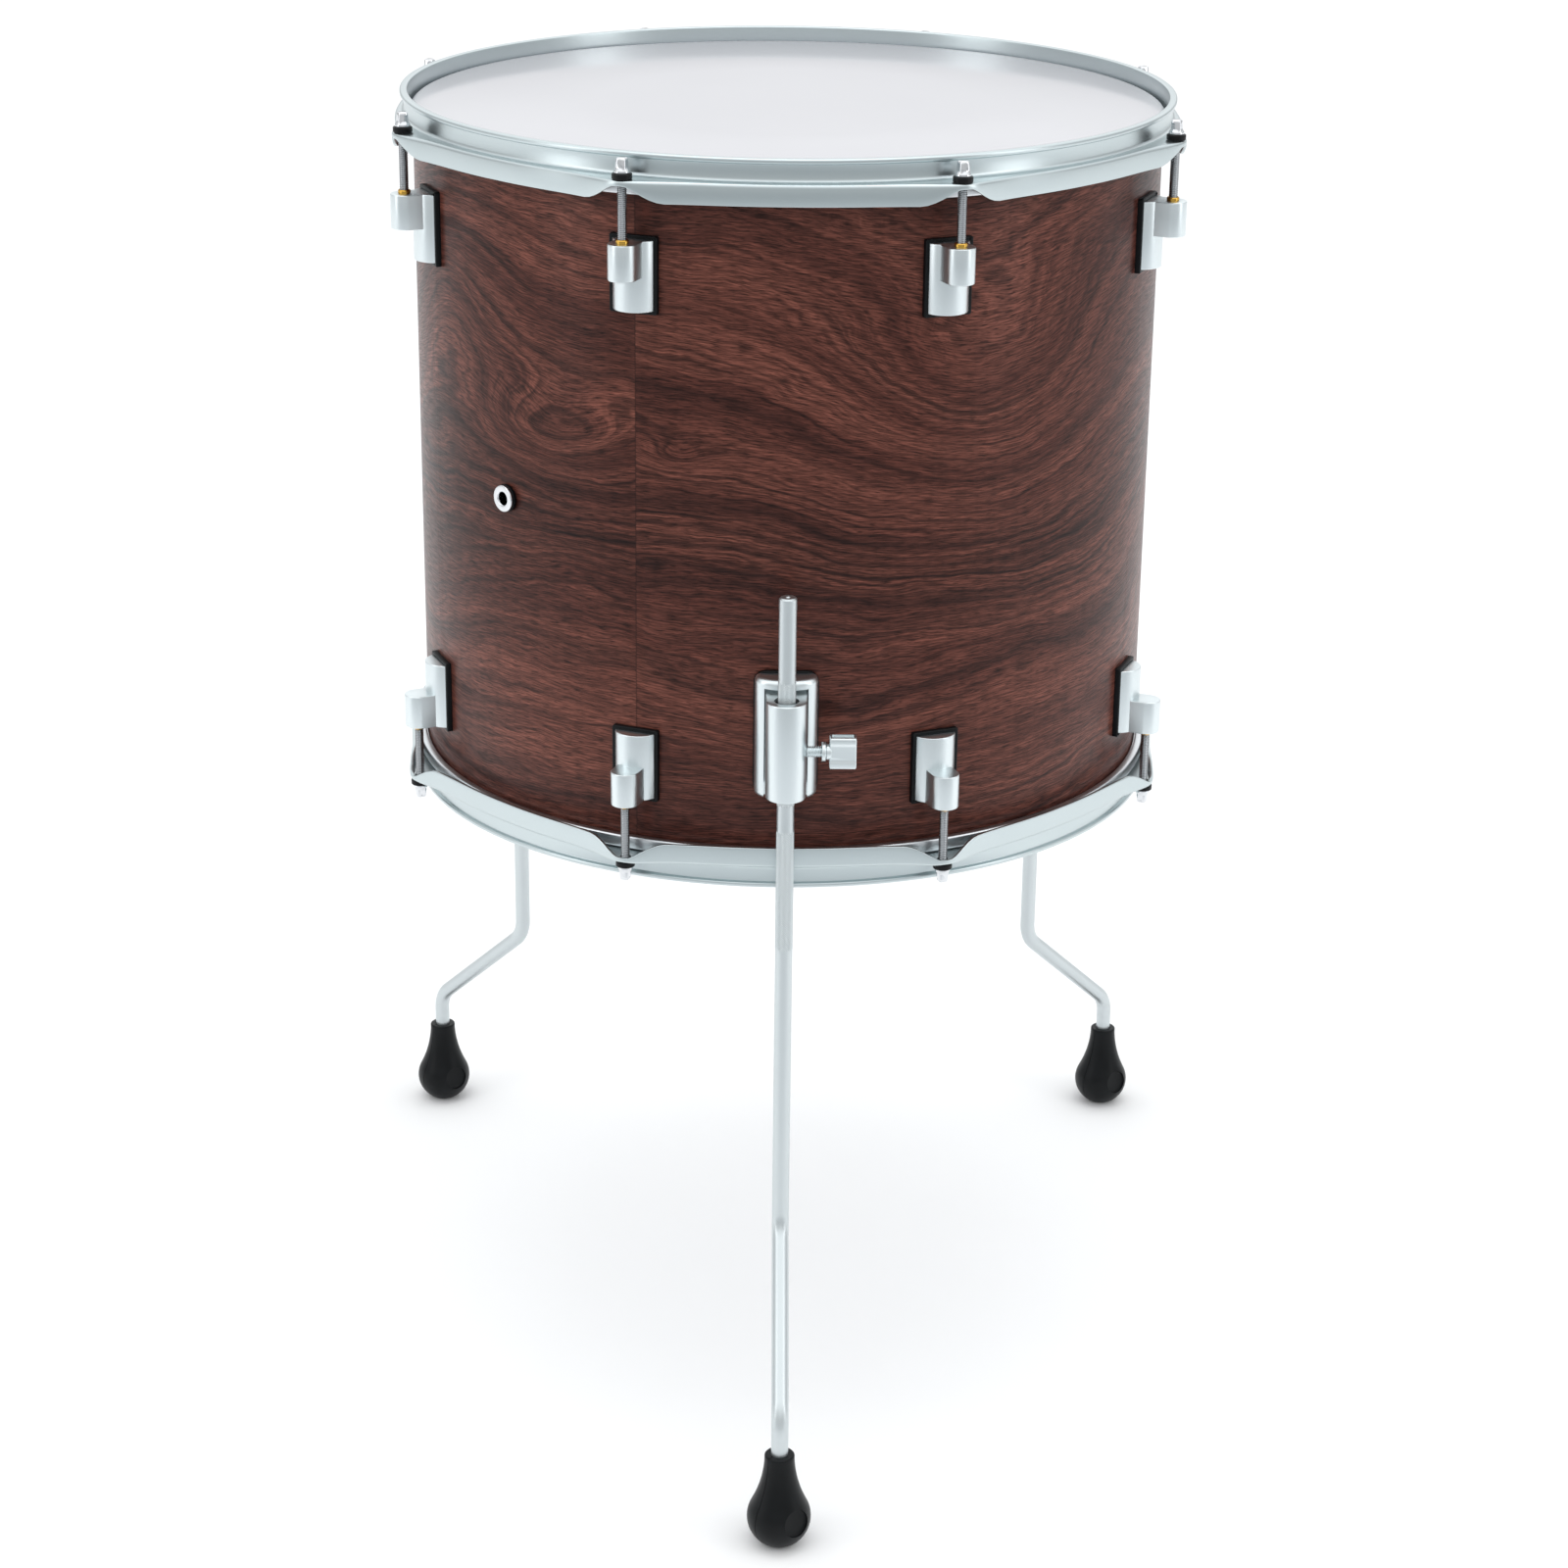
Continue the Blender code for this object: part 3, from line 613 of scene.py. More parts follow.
def moulded_material(name, dark, light, roughness, scale, bump):
    """Moulded rubber or nylon: a fine pebbled skin with rubbed, lighter patches."""
    m, shader = surface(name, {"IOR": 1.28})
    place = object_place(m)
    patches = noise(m, place, 60.0, 3.0, 0.55)
    pebbles = noise(m, place, scale, 2.0, 0.55)
    feed(m, shader, "Base Color", blend(m, spread(m, patches, 0.4, 0.75), dark, light))
    feed(m, shader, "Roughness", spread(m, patches, 0.3, 0.7, roughness - 0.06, roughness + 0.06))
    feed_bump(m, shader, pebbles, bump, 0.00006)
    return m


walnut = walnut_material()
plywood = plywood_material()
# Castings and hoops share one chrome, in two copies: the castings' copy is painted lighter (painted light),
# the hoops' copy darker (painted shade).
satin = metal_material("satin_chrome_castings_painted_light", rgb(228, 236, 238), 0.32, 2600.0, 0.03, 0.05)
hoop_chrome_painted_darker = metal_material("satin_chrome_hoops_painted_shade", rgb(202, 212, 214), 0.28, 2600.0, 0.02, 0.02)
leg_metal = metal_material("satin_chrome_legs", rgb(208, 215, 217), 0.38, 2600.0, 0.02, 0.03)
bright = metal_material("polished_chrome", rgb(226, 228, 231), 0.06, 900.0, 0.04, 0.04)
steel = metal_material("plain_steel", rgb(168, 171, 174), 0.2, 1800.0, 0.08, 0.08)
aluminium = metal_material("aluminium", rgb(222, 225, 228), 0.3, 1500.0, 0.08, 0.15)
brass = metal_material("brass", rgb(226, 178, 84), 0.2, 1800.0, 0.1, 0.1)
film = film_material()
rubber = moulded_material("black_rubber", rgb(7, 10, 12), rgb(13, 16, 19), 0.38, 1800.0, 0.2)
nylon = moulded_material("black_nylon", rgb(12, 12, 14), rgb(20, 20, 23), 0.34, 2400.0, 0.12)


# ---- shell and vent
def radial_hole(radius, azimuth, height):
    """A cutter across the shell's wall."""
    return moved(drill(radius, -0.02, 0.02), FACE_OUT, stand(azimuth, SHELL_RADIUS, height))


def inner_screw_spots():
    """(azimuth, height) of every screw through the shell."""
    spots = []
    for side in ("batter", "resonant"):
        for i, azimuth in enumerate(lug_azimuths):
            low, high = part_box(f"{side}_lug_{i + 1}")
            spots.append((azimuth, (low.z + high.z) / 2))
    for leg in LEGS:
        low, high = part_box(f"leg_bracket_{leg}")
        heights = (low.z + BRACKET_SCREW_INSET, high.z - BRACKET_SCREW_INSET)
        spots += [(leg_azimuths[leg], height) for height in heights]
    return spots


def add_shell():
    """The shell, with its bearing edges cut at 45 degrees from the crests down to the inside."""
    inner = SHELL_RADIUS - SHELL_WALL
    half = SHELL_TOP - MIDDLE
    crest = SHELL_RADIUS - EDGE_INSET
    bevel = half - (crest - inner)
    profile = rounded([(SHELL_RADIUS, half, 0.0022), (SHELL_RADIUS, -half, 0.0022), (crest, -half, 0.0),
                       (inner, -bevel, 0.0), (inner, bevel, 0.0), (crest, half, 0.0)])
    blank = turned("shell_blank", [(r, MIDDLE + z) for r, z in profile], ROUND_STEPS, True)
    blank.transform(Matrix.Translation(AXIS))
    holes = [radial_hole(VENT_HOLE_RADIUS, VENT_AZIMUTH, MIDDLE)]
    holes += [radial_hole(SCREW_HOLE_RADIUS, azimuth, height) for azimuth, height in inner_screw_spots()]
    mesh = combined("walnut_shell", blank, cut(joined("holes", holes)))
    mesh.transform(Matrix.Translation(-AXIS))
    mesh.materials.append(walnut)
    mesh.materials.append(plywood)
    for face in mesh.polygons:
        across = Vector((face.center.x, face.center.y))
        outside = across.length > SHELL_RADIUS - 0.001 and across.dot(face.normal.xy) > 0
        face.material_index = 0 if outside else 1
    piece("walnut_shell", mesh, walnut, "drum", Matrix.Translation(AXIS), "walnut_shell", "shell")


def add_vent():
    """A bright eyelet through the shell on a rubber washer, held by a nut inside."""
    place = stand(VENT_AZIMUTH, SHELL_RADIUS, MIDDLE)
    washer_front, flange_front = 0.0027, 0.0044
    inner_end = -SHELL_WALL - 0.0055
    eyelet = turned_ring("vent_eyelet", [
        (0.004, flange_front, 0.0009), (0.008, flange_front, 0.0011), (0.008, washer_front + GAP, 0.0003),
        (0.005, washer_front + GAP, 0.0), (0.005, inner_end, 0.0004), (0.004, inner_end, 0.0002)])
    washer = turned_ring("vent_rubber_washer", [
        (0.0054, washer_front, 0.0), (0.0083, washer_front, 0.0006), (0.0083, 0.0003, 0.0004),
        (0.0054, 0.0003, 0.0)])
    nut_front = -SHELL_WALL - 0.0005
    hexagon = rounded([(x, y, 0.0012) for x, y in arc(0.0, 0.0, 0.009, 0, 300, 5)])
    blank = block("vent_nut_blank", hexagon, nut_front - 0.0032, nut_front, 0.0004, 0.0004)
    nut = combined("vent_nut_hex", blank, cut(drill(0.0052, -0.03, 0.03)))
    for name, mesh, material, slot, stands_for in (
            ("vent_eyelet", eyelet, bright, "bright_chrome", "vent_grommet"),
            ("vent_rubber_washer", washer, rubber, "black_rubber", "vent_gasket"),
            ("vent_hex_nut", nut, satin, "satin_chrome", "vent_nut")):
        piece(name, moved(mesh, FACE_OUT), material, "drum", place, slot, stands_for)


def inner_screw_mesh():
    """A pan-head screw on a washer, on the inside of the shell, pointing out along +Z."""
    head, washer, shaft = 0.0044, 0.006, 0.0024
    thick, tip = 0.0012, SHELL_WALL - 0.001
    blank = turned_solid("screw_blank", [
        (0.0, -0.0036, 0.0), (head, -0.0034, 0.0016), (head, -thick, 0.0002), (washer, -thick, 0.0003),
        (washer, 0.0, 0.0002), (shaft, 0.0, 0.0), (shaft, tip, 0.0), (0.0, tip, 0.0)])
    slots = [block("slot", box_outline(w, h, 0.0002), -0.006, -0.0022, 0.0, 0.0)
             for w, h in ((0.0046, 0.0009), (0.0009, 0.0046))]
    return combined("inner_screw", blank, cut(*slots))


def add_inner_screws():
    mesh = moved(inner_screw_mesh(), FACE_OUT)
    for number, (azimuth, height) in enumerate(inner_screw_spots(), start=1):
        place = stand(azimuth, SHELL_RADIUS - SHELL_WALL, height)
        piece(f"inner_screw_{number}", mesh, steel, "drum", place, "satin_chrome")


# ---- hoops and heads
def ear_swell(offset):
    """How far the skirt swells out to an ear: 1 in its middle, 0 halfway to the next ear."""
    tail = 1.0 / (1.0 + (pi / LUG_COUNT * ROD_CIRCLE / EAR_SWELL) ** 2)
    return (1.0 / (1.0 + (offset / EAR_SWELL) ** 2) - tail) / (1.0 - tail)


def ear_arch(offset):
    """How far the skirt's edge has risen to the ear: 1 in its middle, 0 beyond the arch."""
    run = min(max((abs(offset) - EAR_FLAT) / (EAR_ARCH - EAR_FLAT), 0.0), 1.0) ** 0.75
    return 1.0 - run * run * (3.0 - 2.0 * run)


def hoop_section(offset):
    """(radius, height under the rim) points of the hoop at an arc length from an ear."""
    inner = HOOP_WALL_RADIUS - HOOP_SHEET
    lip = HOOP_WALL_RADIUS + HOOP_SHEET
    ledge = -HOOP_LEDGE_DROP
    under = ledge - HOOP_SHEET
    arch = ear_arch(offset)
    skirt = HOOP_SKIRT_RADIUS + EAR_REACH * ear_swell(offset)
    bottom = ledge - HOOP_SKIRT_HEIGHT + (HOOP_SKIRT_HEIGHT - HOOP_SHEET - 0.0008) * arch
    return rounded([(inner, 0.0, 0.0008), (lip, 0.0, 0.0012), (lip, -0.0026, 0.0011),
                    (HOOP_WALL_RADIUS, -0.0034, 0.0004), (HOOP_WALL_RADIUS, ledge, 0.0024),
                    (skirt, ledge, 0.0021 - 0.0008 * arch), (skirt, bottom, 0.0005),
                    (skirt - HOOP_SHEET, bottom, 0.0005), (skirt - HOOP_SHEET, under, 0.0012),
                    (inner, under, 0.002)])


def hoop_mesh():
    """A loft round the drum through the changing section, with a hole in each ear."""
    half_steps = 22
    half_sector = pi / LUG_COUNT
    rings = []
    for ear in sorted(a % (2 * pi) for a in lug_azimuths):
        for step in range(1 - half_steps, half_steps + 1):
            turn = copysign((abs(step) / half_steps) ** 1.35, step) * half_sector
            azimuth = ear + turn
            rings.append([round_point(r, azimuth, RIM - MIDDLE + z)
                          for r, z in hoop_section(turn * ROD_CIRCLE)])
    holes = [moved(drill(0.0034, SEAT - 0.006, SEAT + 0.006, 24),
                   Matrix.Translation(round_point(ROD_CIRCLE, azimuth, 0.0))) for azimuth in lug_azimuths]
    return combined("hoop", skin("hoop_blank", rings, True), cut(joined("ear_holes", holes)))


def flesh_hoop_mesh():
    low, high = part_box("batter_flesh_hoop")
    outer = (high.x - low.x) / 2
    inner = outer - 0.0047
    bottom, top = low.z - MIDDLE, high.z - MIDDLE
    return turned_ring("flesh_hoop", [(inner, top, 0.001), (outer, top, 0.0016), (outer, bottom, 0.0012),
                                      (inner, bottom, 0.0006)], ROUND_STEPS)


def film_mesh():
    """The film: flat over the bearing edge, with a collar down into the flesh hoop."""
    top = FILM_TOP - MIDDLE
    thick = 0.0007
    low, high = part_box("batter_head")
    outer = (high.x - low.x) / 2
    collar = low.z - MIDDLE
    inner, under = outer - thick, top - thick
    profile = rounded([(0.0, top, 0.0), (outer * 0.5, top, 0.0), (outer, top, 0.0034), (outer, collar, 0.0),
                       (inner, collar, 0.0), (inner, under, 0.003), (outer * 0.5, under, 0.0),
                       (0.0, under, 0.0)], closed=False, steps=6)
    return turned("film", profile, ROUND_STEPS)


def rod_mesh():
    """A threaded rod with a flared, square drive head; its seat on the ear is at height 0."""
    shaft = threaded_rod(-ROD_REACH, 0.0016 - ROD_REACH, 0.0, 0.0002, WASHER_HEIGHT, THREAD_PITCH,
                         ROD_RADIUS, 0.00042, 1.35)
    foot = WASHER_HEIGHT
    flange = turned_solid("rod_flange", [
        (0.0, foot, 0.0), (0.00465, foot, 0.0004), (0.00455, foot + 0.0013, 0.0006),
        (0.0034, foot + 0.003, 0.0014), (0.003, foot + 0.005, 0.0004), (0.0, foot + 0.005, 0.0)])
    levels = ((0.0045, 0.0066), (0.007, 0.0064), (0.01, 0.006), (0.0114, 0.0056), (0.012, 0.0046))
    square = skin("drive_square", [[(x, y, z) for x, y in box_outline(w, w, w * 0.26)] for z, w in levels],
                  angle=50)
    mesh = combined("tension_rod", flange, add(shaft, square), 50)
    mesh.materials.append(bright)
    mesh.materials.append(steel)
    for face in mesh.polygons:
        face.material_index = 1 if face.center.z < WASHER_HEIGHT else 0
    return mesh


def rod_washer_mesh():
    top = WASHER_HEIGHT - 0.0001
    return turned_ring("rod_washer", [(0.0031, GAP, 0.0), (0.00575, GAP, 0.0005), (0.00575, top, 0.0006),
                                      (0.0031, top, 0.0)])


def base_outline(back, width, depth):
    """A D-shaped section: flat at the back, an arc towards -Y."""
    half = width / 2
    radius = (half * half + depth * depth) / (2 * depth)
    sweep = degrees(asin(half / radius))
    return arc(0.0, back - depth + radius, radius, 270 - sweep, 270 + sweep, 24)


LUG_BACK = ROD_CIRCLE - SHELL_RADIUS


def lug_mesh():
    """A half-round base and a barrel on the rod circle; the bore's mouth is at height 0."""
    front = LUG_BACK - LUG_GASKET
    section = base_outline(front, LUG_WIDTH, LUG_DEPTH - LUG_GASKET + GAP)
    base = block("lug_base", section, -LUG_HEIGHT, 0.0, 0.0006, 0.0006)
    outline = [(BARREL_WIDTH / 2, front - 0.002), (-BARREL_WIDTH / 2, front - 0.002)]
    outline += arc(0.0, 0.0, BARREL_WIDTH / 2, 180, 360, 32)
    barrel = block("lug_barrel", outline, -BARREL_HEIGHT, -0.00002, 0.0006, 0.0006)
    return combined("lug", base, add(barrel) + cut(drill(0.0036, -0.0173, 0.005)))


def shell_cutter(circle_radius, height):
    """The shell's outer cylinder, seen from a local frame that stands on a circle round the drum."""
    return moved(drill(SHELL_RADIUS + 0.0001, -0.08, 0.08, ROUND_STEPS), shift(0.0, circle_radius, height))


def lug_gasket_mesh():
    """A rubber pad 2 mm larger than the lug all round, curved to the shell at its back."""
    margin = 0.0021
    width, height = LUG_WIDTH + 2 * margin, LUG_HEIGHT + 2 * margin
    outline = box_outline(width, height, 0.0012, (0.0, -LUG_HEIGHT / 2))
    pad = block("gasket_pad", outline, -0.0015, LUG_GASKET - 0.0001, 0.0, 0.0007)
    tip = LUG_GASKET + 0.0006
    peg = turned_solid("gasket_peg", [(0.0, 0.0, 0.0), (0.0008, 0.0, 0.0), (0.0008, tip, 0.0004),
                                      (0.0, tip, 0.0)], 16)
    peg.transform(shift(width / 2 - 0.0016, margin - 0.0016, 0.0))
    # the pad's +Z is turned to the local -Y, and its back is cut to the shell
    place = shift(0.0, LUG_BACK - 0.0002, 0.0) @ FACE_OUT
    tools = add(moved(peg, place)) + cut(shell_cutter(ROD_CIRCLE, 0.0))
    return combined("gasket", moved(pad, place), tools)


def nut_mesh():
    """A swivel nut: a chamfered collar over the lug's mouth and a barrel inside."""
    return turned_ring("swivel_nut", [
        (0.0028, 0.0022, 0.0002), (0.0033, 0.0022, 0.0), (0.0037, 0.0016, 0.0002), (0.0037, 0.0002, 0.0),
        (0.0034, 0.0002, 0.0), (0.0034, -0.015, 0.0), (0.0028, -0.015, 0.0)])


def add_head(side, body, down):
    """One head with its hoop, rods, washers, lugs, gaskets and swivel nuts."""
    flat = stand(0.0, 0.0, MIDDLE, down)
    sign = -1.0 if down else 1.0
    piece(f"{side}_steel_hoop", hoop, hoop_chrome_painted_darker, body, flat, "satin_chrome", f"{side}_hoop")
    piece(f"{side}_head_ring", ring, aluminium, body, flat, "flesh_hoop_aluminium", f"{side}_flesh_hoop")
    piece(f"{side}_head_film", skin_film, film, body, flat, "head_film", f"{side}_head")
    for i, azimuth in enumerate(lug_azimuths, start=1):
        seat = stand(azimuth, ROD_CIRCLE, MIDDLE + sign * SEAT, down)
        mouth = stand(azimuth, ROD_CIRCLE, MIDDLE + sign * LUG_TOP, down)
        piece(f"{side}_tension_rod_{i}", rod, bright, f"{side}_tuner_{i}", seat, "bright_chrome",
              f"{side}_rod_{i}")
        piece(f"{side}_rod_washer_{i}", rod_washer, nylon, body, seat, "black_nylon")
        piece(f"{side}_lug_casting_{i}", lug, satin, "drum", mouth, "satin_chrome", f"{side}_lug_{i}")
        piece(f"{side}_lug_gasket_{i}", gasket, rubber, "drum", mouth, "black_rubber")
        piece(f"{side}_swivel_nut_{i}", nut, brass, "drum", mouth)


# ---- legs
BRACKET_BACK = LEG_CIRCLE - SHELL_RADIUS


def bracket_mesh():
    """A bulging base with rounded ends, and a half-round clamp in a channel down its middle."""
    front = BRACKET_BACK - BRACKET_GASKET
    half = BRACKET_WIDTH / 2
    edge = BRACKET_EDGE - BRACKET_GASKET
    bulge = [(half * x, front - edge + BRACKET_BULGE * y) for x, y in arc(0.0, 0.0, 1.0, 180, 360, 48)]
    end_round = 0.0034
    outline = [(half, front + end_round), (-half, front + end_round)] + bulge
    base = block("bracket_base", outline, bracket_low, bracket_high, end_round, end_round, 8)
    below, above = bracket_low - 0.01, bracket_high + 0.01
    back_slab = box_outline(0.06, 0.02, 0.001, (0.0, front + 0.01))
    behind = block("bracket_behind", back_slab, below, above, 0.0, 0.0)
    side = CLAMP_WIDTH / 2 + CHANNEL_GAP
    floor = BRACKET_BACK - CHANNEL_FLOOR
    channel_outline = rounded([(-side, -0.03, 0.0), (side, -0.03, 0.0), (side, floor, 0.0008),
                               (-side, floor, 0.0008)])
    channel = block("bracket_channel", channel_outline, below, bracket_high - CHANNEL_DROP, 0.0, 0.0)
    clamp_outline = [(CLAMP_WIDTH / 2, floor + 0.0006), (-CLAMP_WIDTH / 2, floor + 0.0006)]
    clamp_outline += arc(0.0, 0.0, CLAMP_WIDTH / 2, 180, 360, 48)
    clamp = block("clamp", clamp_outline, bracket_low + CLAMP_SHY, bracket_high - CLAMP_SHY, 0.0009, 0.0009)
    bore = drill(SLEEVE_RADIUS + CLEARANCE, 0.3, 0.7, 64)
    tap = moved(drill(SCREW_RADIUS + CLEARANCE, 0.003, 0.03), TO_RIGHT, shift(0.0, 0.0, SCREW_HEIGHT))
    return combined("leg_bracket", base, cut(behind, channel) + add(clamp) + cut(bore, tap))


def bracket_gasket_mesh():
    outline = box_outline(BRACKET_WIDTH + 0.0016, bracket_high - bracket_low + 0.0026, 0.0072)
    pad = block("bracket_pad", outline, -0.0015, BRACKET_GASKET - 0.0001, 0.0, 0.0008)
    centre = (bracket_low + bracket_high) / 2
    place = shift(0.0, BRACKET_BACK - 0.0002, centre) @ FACE_OUT
    return combined("bracket_gasket", moved(pad, place), cut(shell_cutter(LEG_CIRCLE, centre)))


def sleeve_mesh():
    """A split nylon bush between the clamp and the leg."""
    low, high = (corner.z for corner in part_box("leg_sleeve_front"))
    inner = LEG_RADIUS + 0.0003
    bush = turned_ring("bush", [(inner, high, 0.0003), (SLEEVE_RADIUS, high, 0.0002),
                                (SLEEVE_RADIUS, low, 0.0002), (inner, low, 0.0003)], 64)
    slit = block("slit", box_outline(0.02, 0.0014, 0.0001, (-0.01, 0.0)), low - 0.01, high + 0.01, 0.0, 0.0)
    return combined("leg_sleeve", bush, cut(slit))


def leg_stations():
    """(reach, height, radius, knurl row) along the bar from its top to its foot; row 0 is plain."""
    knurl_step = 0.0007
    bar = LEG_RADIUS - 0.00015
    edge = LEG_RADIUS - 0.0001
    root = LEG_RADIUS - KNURL_DEPTH
    reach = FOOT_CIRCLE - LEG_CIRCLE
    top, bottom = leg_high.z, leg_low.z
    nub, chamfer = 0.0006, 0.001
    stations = [(0.0, top, 0.0, 0), (0.0, top - 0.0001, 0.001, 0), (0.0, top - nub, 0.0016, 0),
                (0.0, top - nub - 0.0001, LEG_RADIUS - chamfer, 0), (0.0, top - nub - chamfer, edge, 0)]
    for low, high in sorted(KNURL_ZONES, reverse=True):
        rows = range(1, int((high - low) / knurl_step))
        stations += [(0.0, high + 0.0008, bar, 0), (0.0, high, edge, 0)]
        stations += [(0.0, high - knurl_step * row, root, row) for row in rows]
        stations += [(0.0, low, edge, 0), (0.0, low - 0.0008, bar, 0)]
    corners = [(0.0, top, 0.0), (0.0, UPPER_BEND_HEIGHT, BEND_RADIUS),
               (reach, LOWER_BEND_HEIGHT, BEND_RADIUS), (reach, bottom, 0.0)]
    bends = rounded(corners, closed=False, steps=14)[1:-1]
    stations += [(out, height, bar, 0) for out, height in bends]
    return stations + [(reach, bottom + 0.0008, bar, 0), (reach, bottom, LEG_RADIUS - 0.001, 0),
                       (reach, bottom, 0.0, 0)]


def leg_mesh():
    """A bent bar: knurled upright, run outwards, short upright into the foot."""
    sides = 48
    stations = leg_stations()
    rings = []
    for i, (out, height, radius, knurl) in enumerate(stations):
        before, after = stations[max(i - 1, 0)], stations[min(i + 1, len(stations) - 1)]
        heading = Vector((after[0] - before[0], after[1] - before[1]))
        heading = heading.normalized() if heading.length > MERGE else Vector((0.0, -1.0))
        # the ring stands square to the bar, in the plane that the bar is bent in
        forward = Vector((0.0, heading.y, heading.x))
        ring = []
        for side in range(sides):
            turn = 2 * pi * side / sides
            grown = radius + (KNURL_DEPTH if knurl and (side + knurl) % 2 else 0.0)
            ahead = grown * cos(turn)
            ring.append((grown * sin(turn), -out + forward.y * ahead, height + forward.z * ahead))
        rings.append(ring)
    work = bmesh.new()
    work.from_mesh(skin("leg_bar", rings))
    # the knurls' faces are twisted, so they are split into flat triangles
    knurled = [face for face in work.faces
               if any(low < face.calc_center_median().z < high for low, high in KNURL_ZONES)]
    bmesh.ops.triangulate(work, faces=knurled)
    return finished(work, "leg", 12)


def foot_outline(equator):
    """Half the foot's section: a rim, a neck that flares smoothly into a ball, a flat tread."""
    neck, rim = 0.009, 0.001
    neck_top = FOOT_TOP - 0.0035
    join_degrees = 27
    join = radians(join_degrees)
    join_radius = FOOT_RADIUS * cos(join)
    join_height = equator + FOOT_RADIUS * sin(join)
    rise = neck_top - join_height
    outline = [(0.0, FOOT_TOP), (neck - rim, FOOT_TOP)]
    outline += arc(neck - rim, FOOT_TOP - rim, rim, 80, 0, 3)
    steps = 16
    for i in range(steps):
        t = 1 - i / steps
        # a cubic that leaves the ball along its slope and ends nearly upright at the neck
        radius = join_radius * (1 + 2 * t) * (1 - t) ** 2 + neck * t * t * (3 - 2 * t)
        radius += rise * (-tan(join) * t * (1 - t) ** 2 + 0.06 * t * t * (1 - t))
        outline.append((radius, join_height + rise * t))
    tread_angle = -degrees(asin(equator / FOOT_RADIUS))
    return outline + arc(0.0, equator, FOOT_RADIUS, join_degrees, tread_angle + 3, 28) + [(0.0, 0.0)]


def foot_mesh():
    """A pear-shaped rubber foot with a socket, an upright parting line and a round dimple."""
    equator = 0.0175
    line_depth, line_half = 0.00035, 0.00018
    outline = foot_outline(equator)
    body = turned("foot_body", outline, 96)
    socket = drill(LEG_RADIUS + 0.0001, leg_low.z - GAP, FOOT_TOP + 0.01)
    # the parting line is cut by a thin sheet round the foot's own section
    side = [(r, z) for r, z in outline if r > 0.0]
    section = [(-r, z) for r, z in side] + side[::-1]
    outer = [(r * 1.2, FOOT_TOP / 2 + (z - FOOT_TOP / 2) * 1.2) for r, z in section]
    core = block("parting_core", inset(section, line_depth), -0.01, 0.01, 0.0, 0.0)
    sheet = block("parting_sheet", outer, -line_half, line_half, 0.0, 0.0)
    ring = combined("parting_ring", sheet, cut(core))
    upright = Matrix.Rotation(radians(42), 4, "Z") @ FACE_OUT
    aim = Vector(round_point(1.0, radians(37), 0.15)).normalized()
    dimple = turned_solid("dimple", [(0.0, 0.0, 0.0), (0.0084, 0.0, 0.0006), (0.0089, 0.01, 0.0),
                                     (0.0, 0.01, 0.0)])
    turn = aim.to_track_quat("Z", "Y").to_matrix().to_4x4()
    dimple.transform(Matrix.Translation(aim * (FOOT_RADIUS - 0.0037) + Vector((0.0, 0.0, equator))) @ turn)
    return combined("foot", body, cut(socket, dimple, moved(ring, upright)))


def thumb_screw_mesh():
    """A threaded stud with its tip at the leg, a tapered collar, and a winged head towards +X."""
    tip, shoulder = 0.0075, 0.0208
    stud = threaded_rod(tip, tip + 0.0006, shoulder, shoulder, 0.024, 0.00125, SCREW_RADIUS, 0.0006, 1.3)
    collar = turned_solid("collar", [(0.0, 0.0231, 0.0), (0.0048, 0.0231, 0.0004), (0.0044, 0.0262, 0.0006),
                                     (0.0, 0.0262, 0.0)])
    low, high = 0.0249, 0.0404
    waist, rim = 0.0036, 0.00425
    reach = 0.0095
    # half of the wings' outline, and the same half turned about the stud
    half = [(-rim, -reach, 0.0014), (rim, -reach, 0.0014), (rim, 0.0034 - reach, 0.0012),
            (waist, 0.0052 - reach, 0.002), (waist, reach - 0.0052, 0.002), (rim, reach - 0.0034, 0.0012)]
    outline = rounded(half + [(-x, -y, radius) for x, y, radius in half])
    wings = block("wings", outline, low, high, 0.0009, 0.0009)
    pockets = []
    for sign in (-1.0, 1.0):
        pocket = block("pocket", box_outline(0.0056, high - low - 0.003, 0.001), 0.0, 0.004, 0.0, 0.0)
        quarter = Matrix.Rotation(-pi / 2 * sign, 4, "X")
        place = shift(0.0, sign * (reach - 0.001), (low + high) / 2) @ quarter
        pockets.append(moved(pocket, place))
    mesh = combined("thumb_screw", stud, add(collar, combined("winged", wings, cut(*pockets))))
    # built along Z with its wings along Y, then laid along X with its wings upright
    return moved(mesh, TO_RIGHT, FACE_OUT)


def thumb_washer_mesh():
    inner, outer = SCREW_RADIUS + CLEARANCE, 0.00575
    washer = turned_ring("thumb_washer", [(inner, 0.0228, 0.0), (outer, 0.0228, 0.0005),
                                          (outer, 0.0205, 0.0005), (inner, 0.0205, 0.0)])
    return moved(washer, TO_RIGHT)


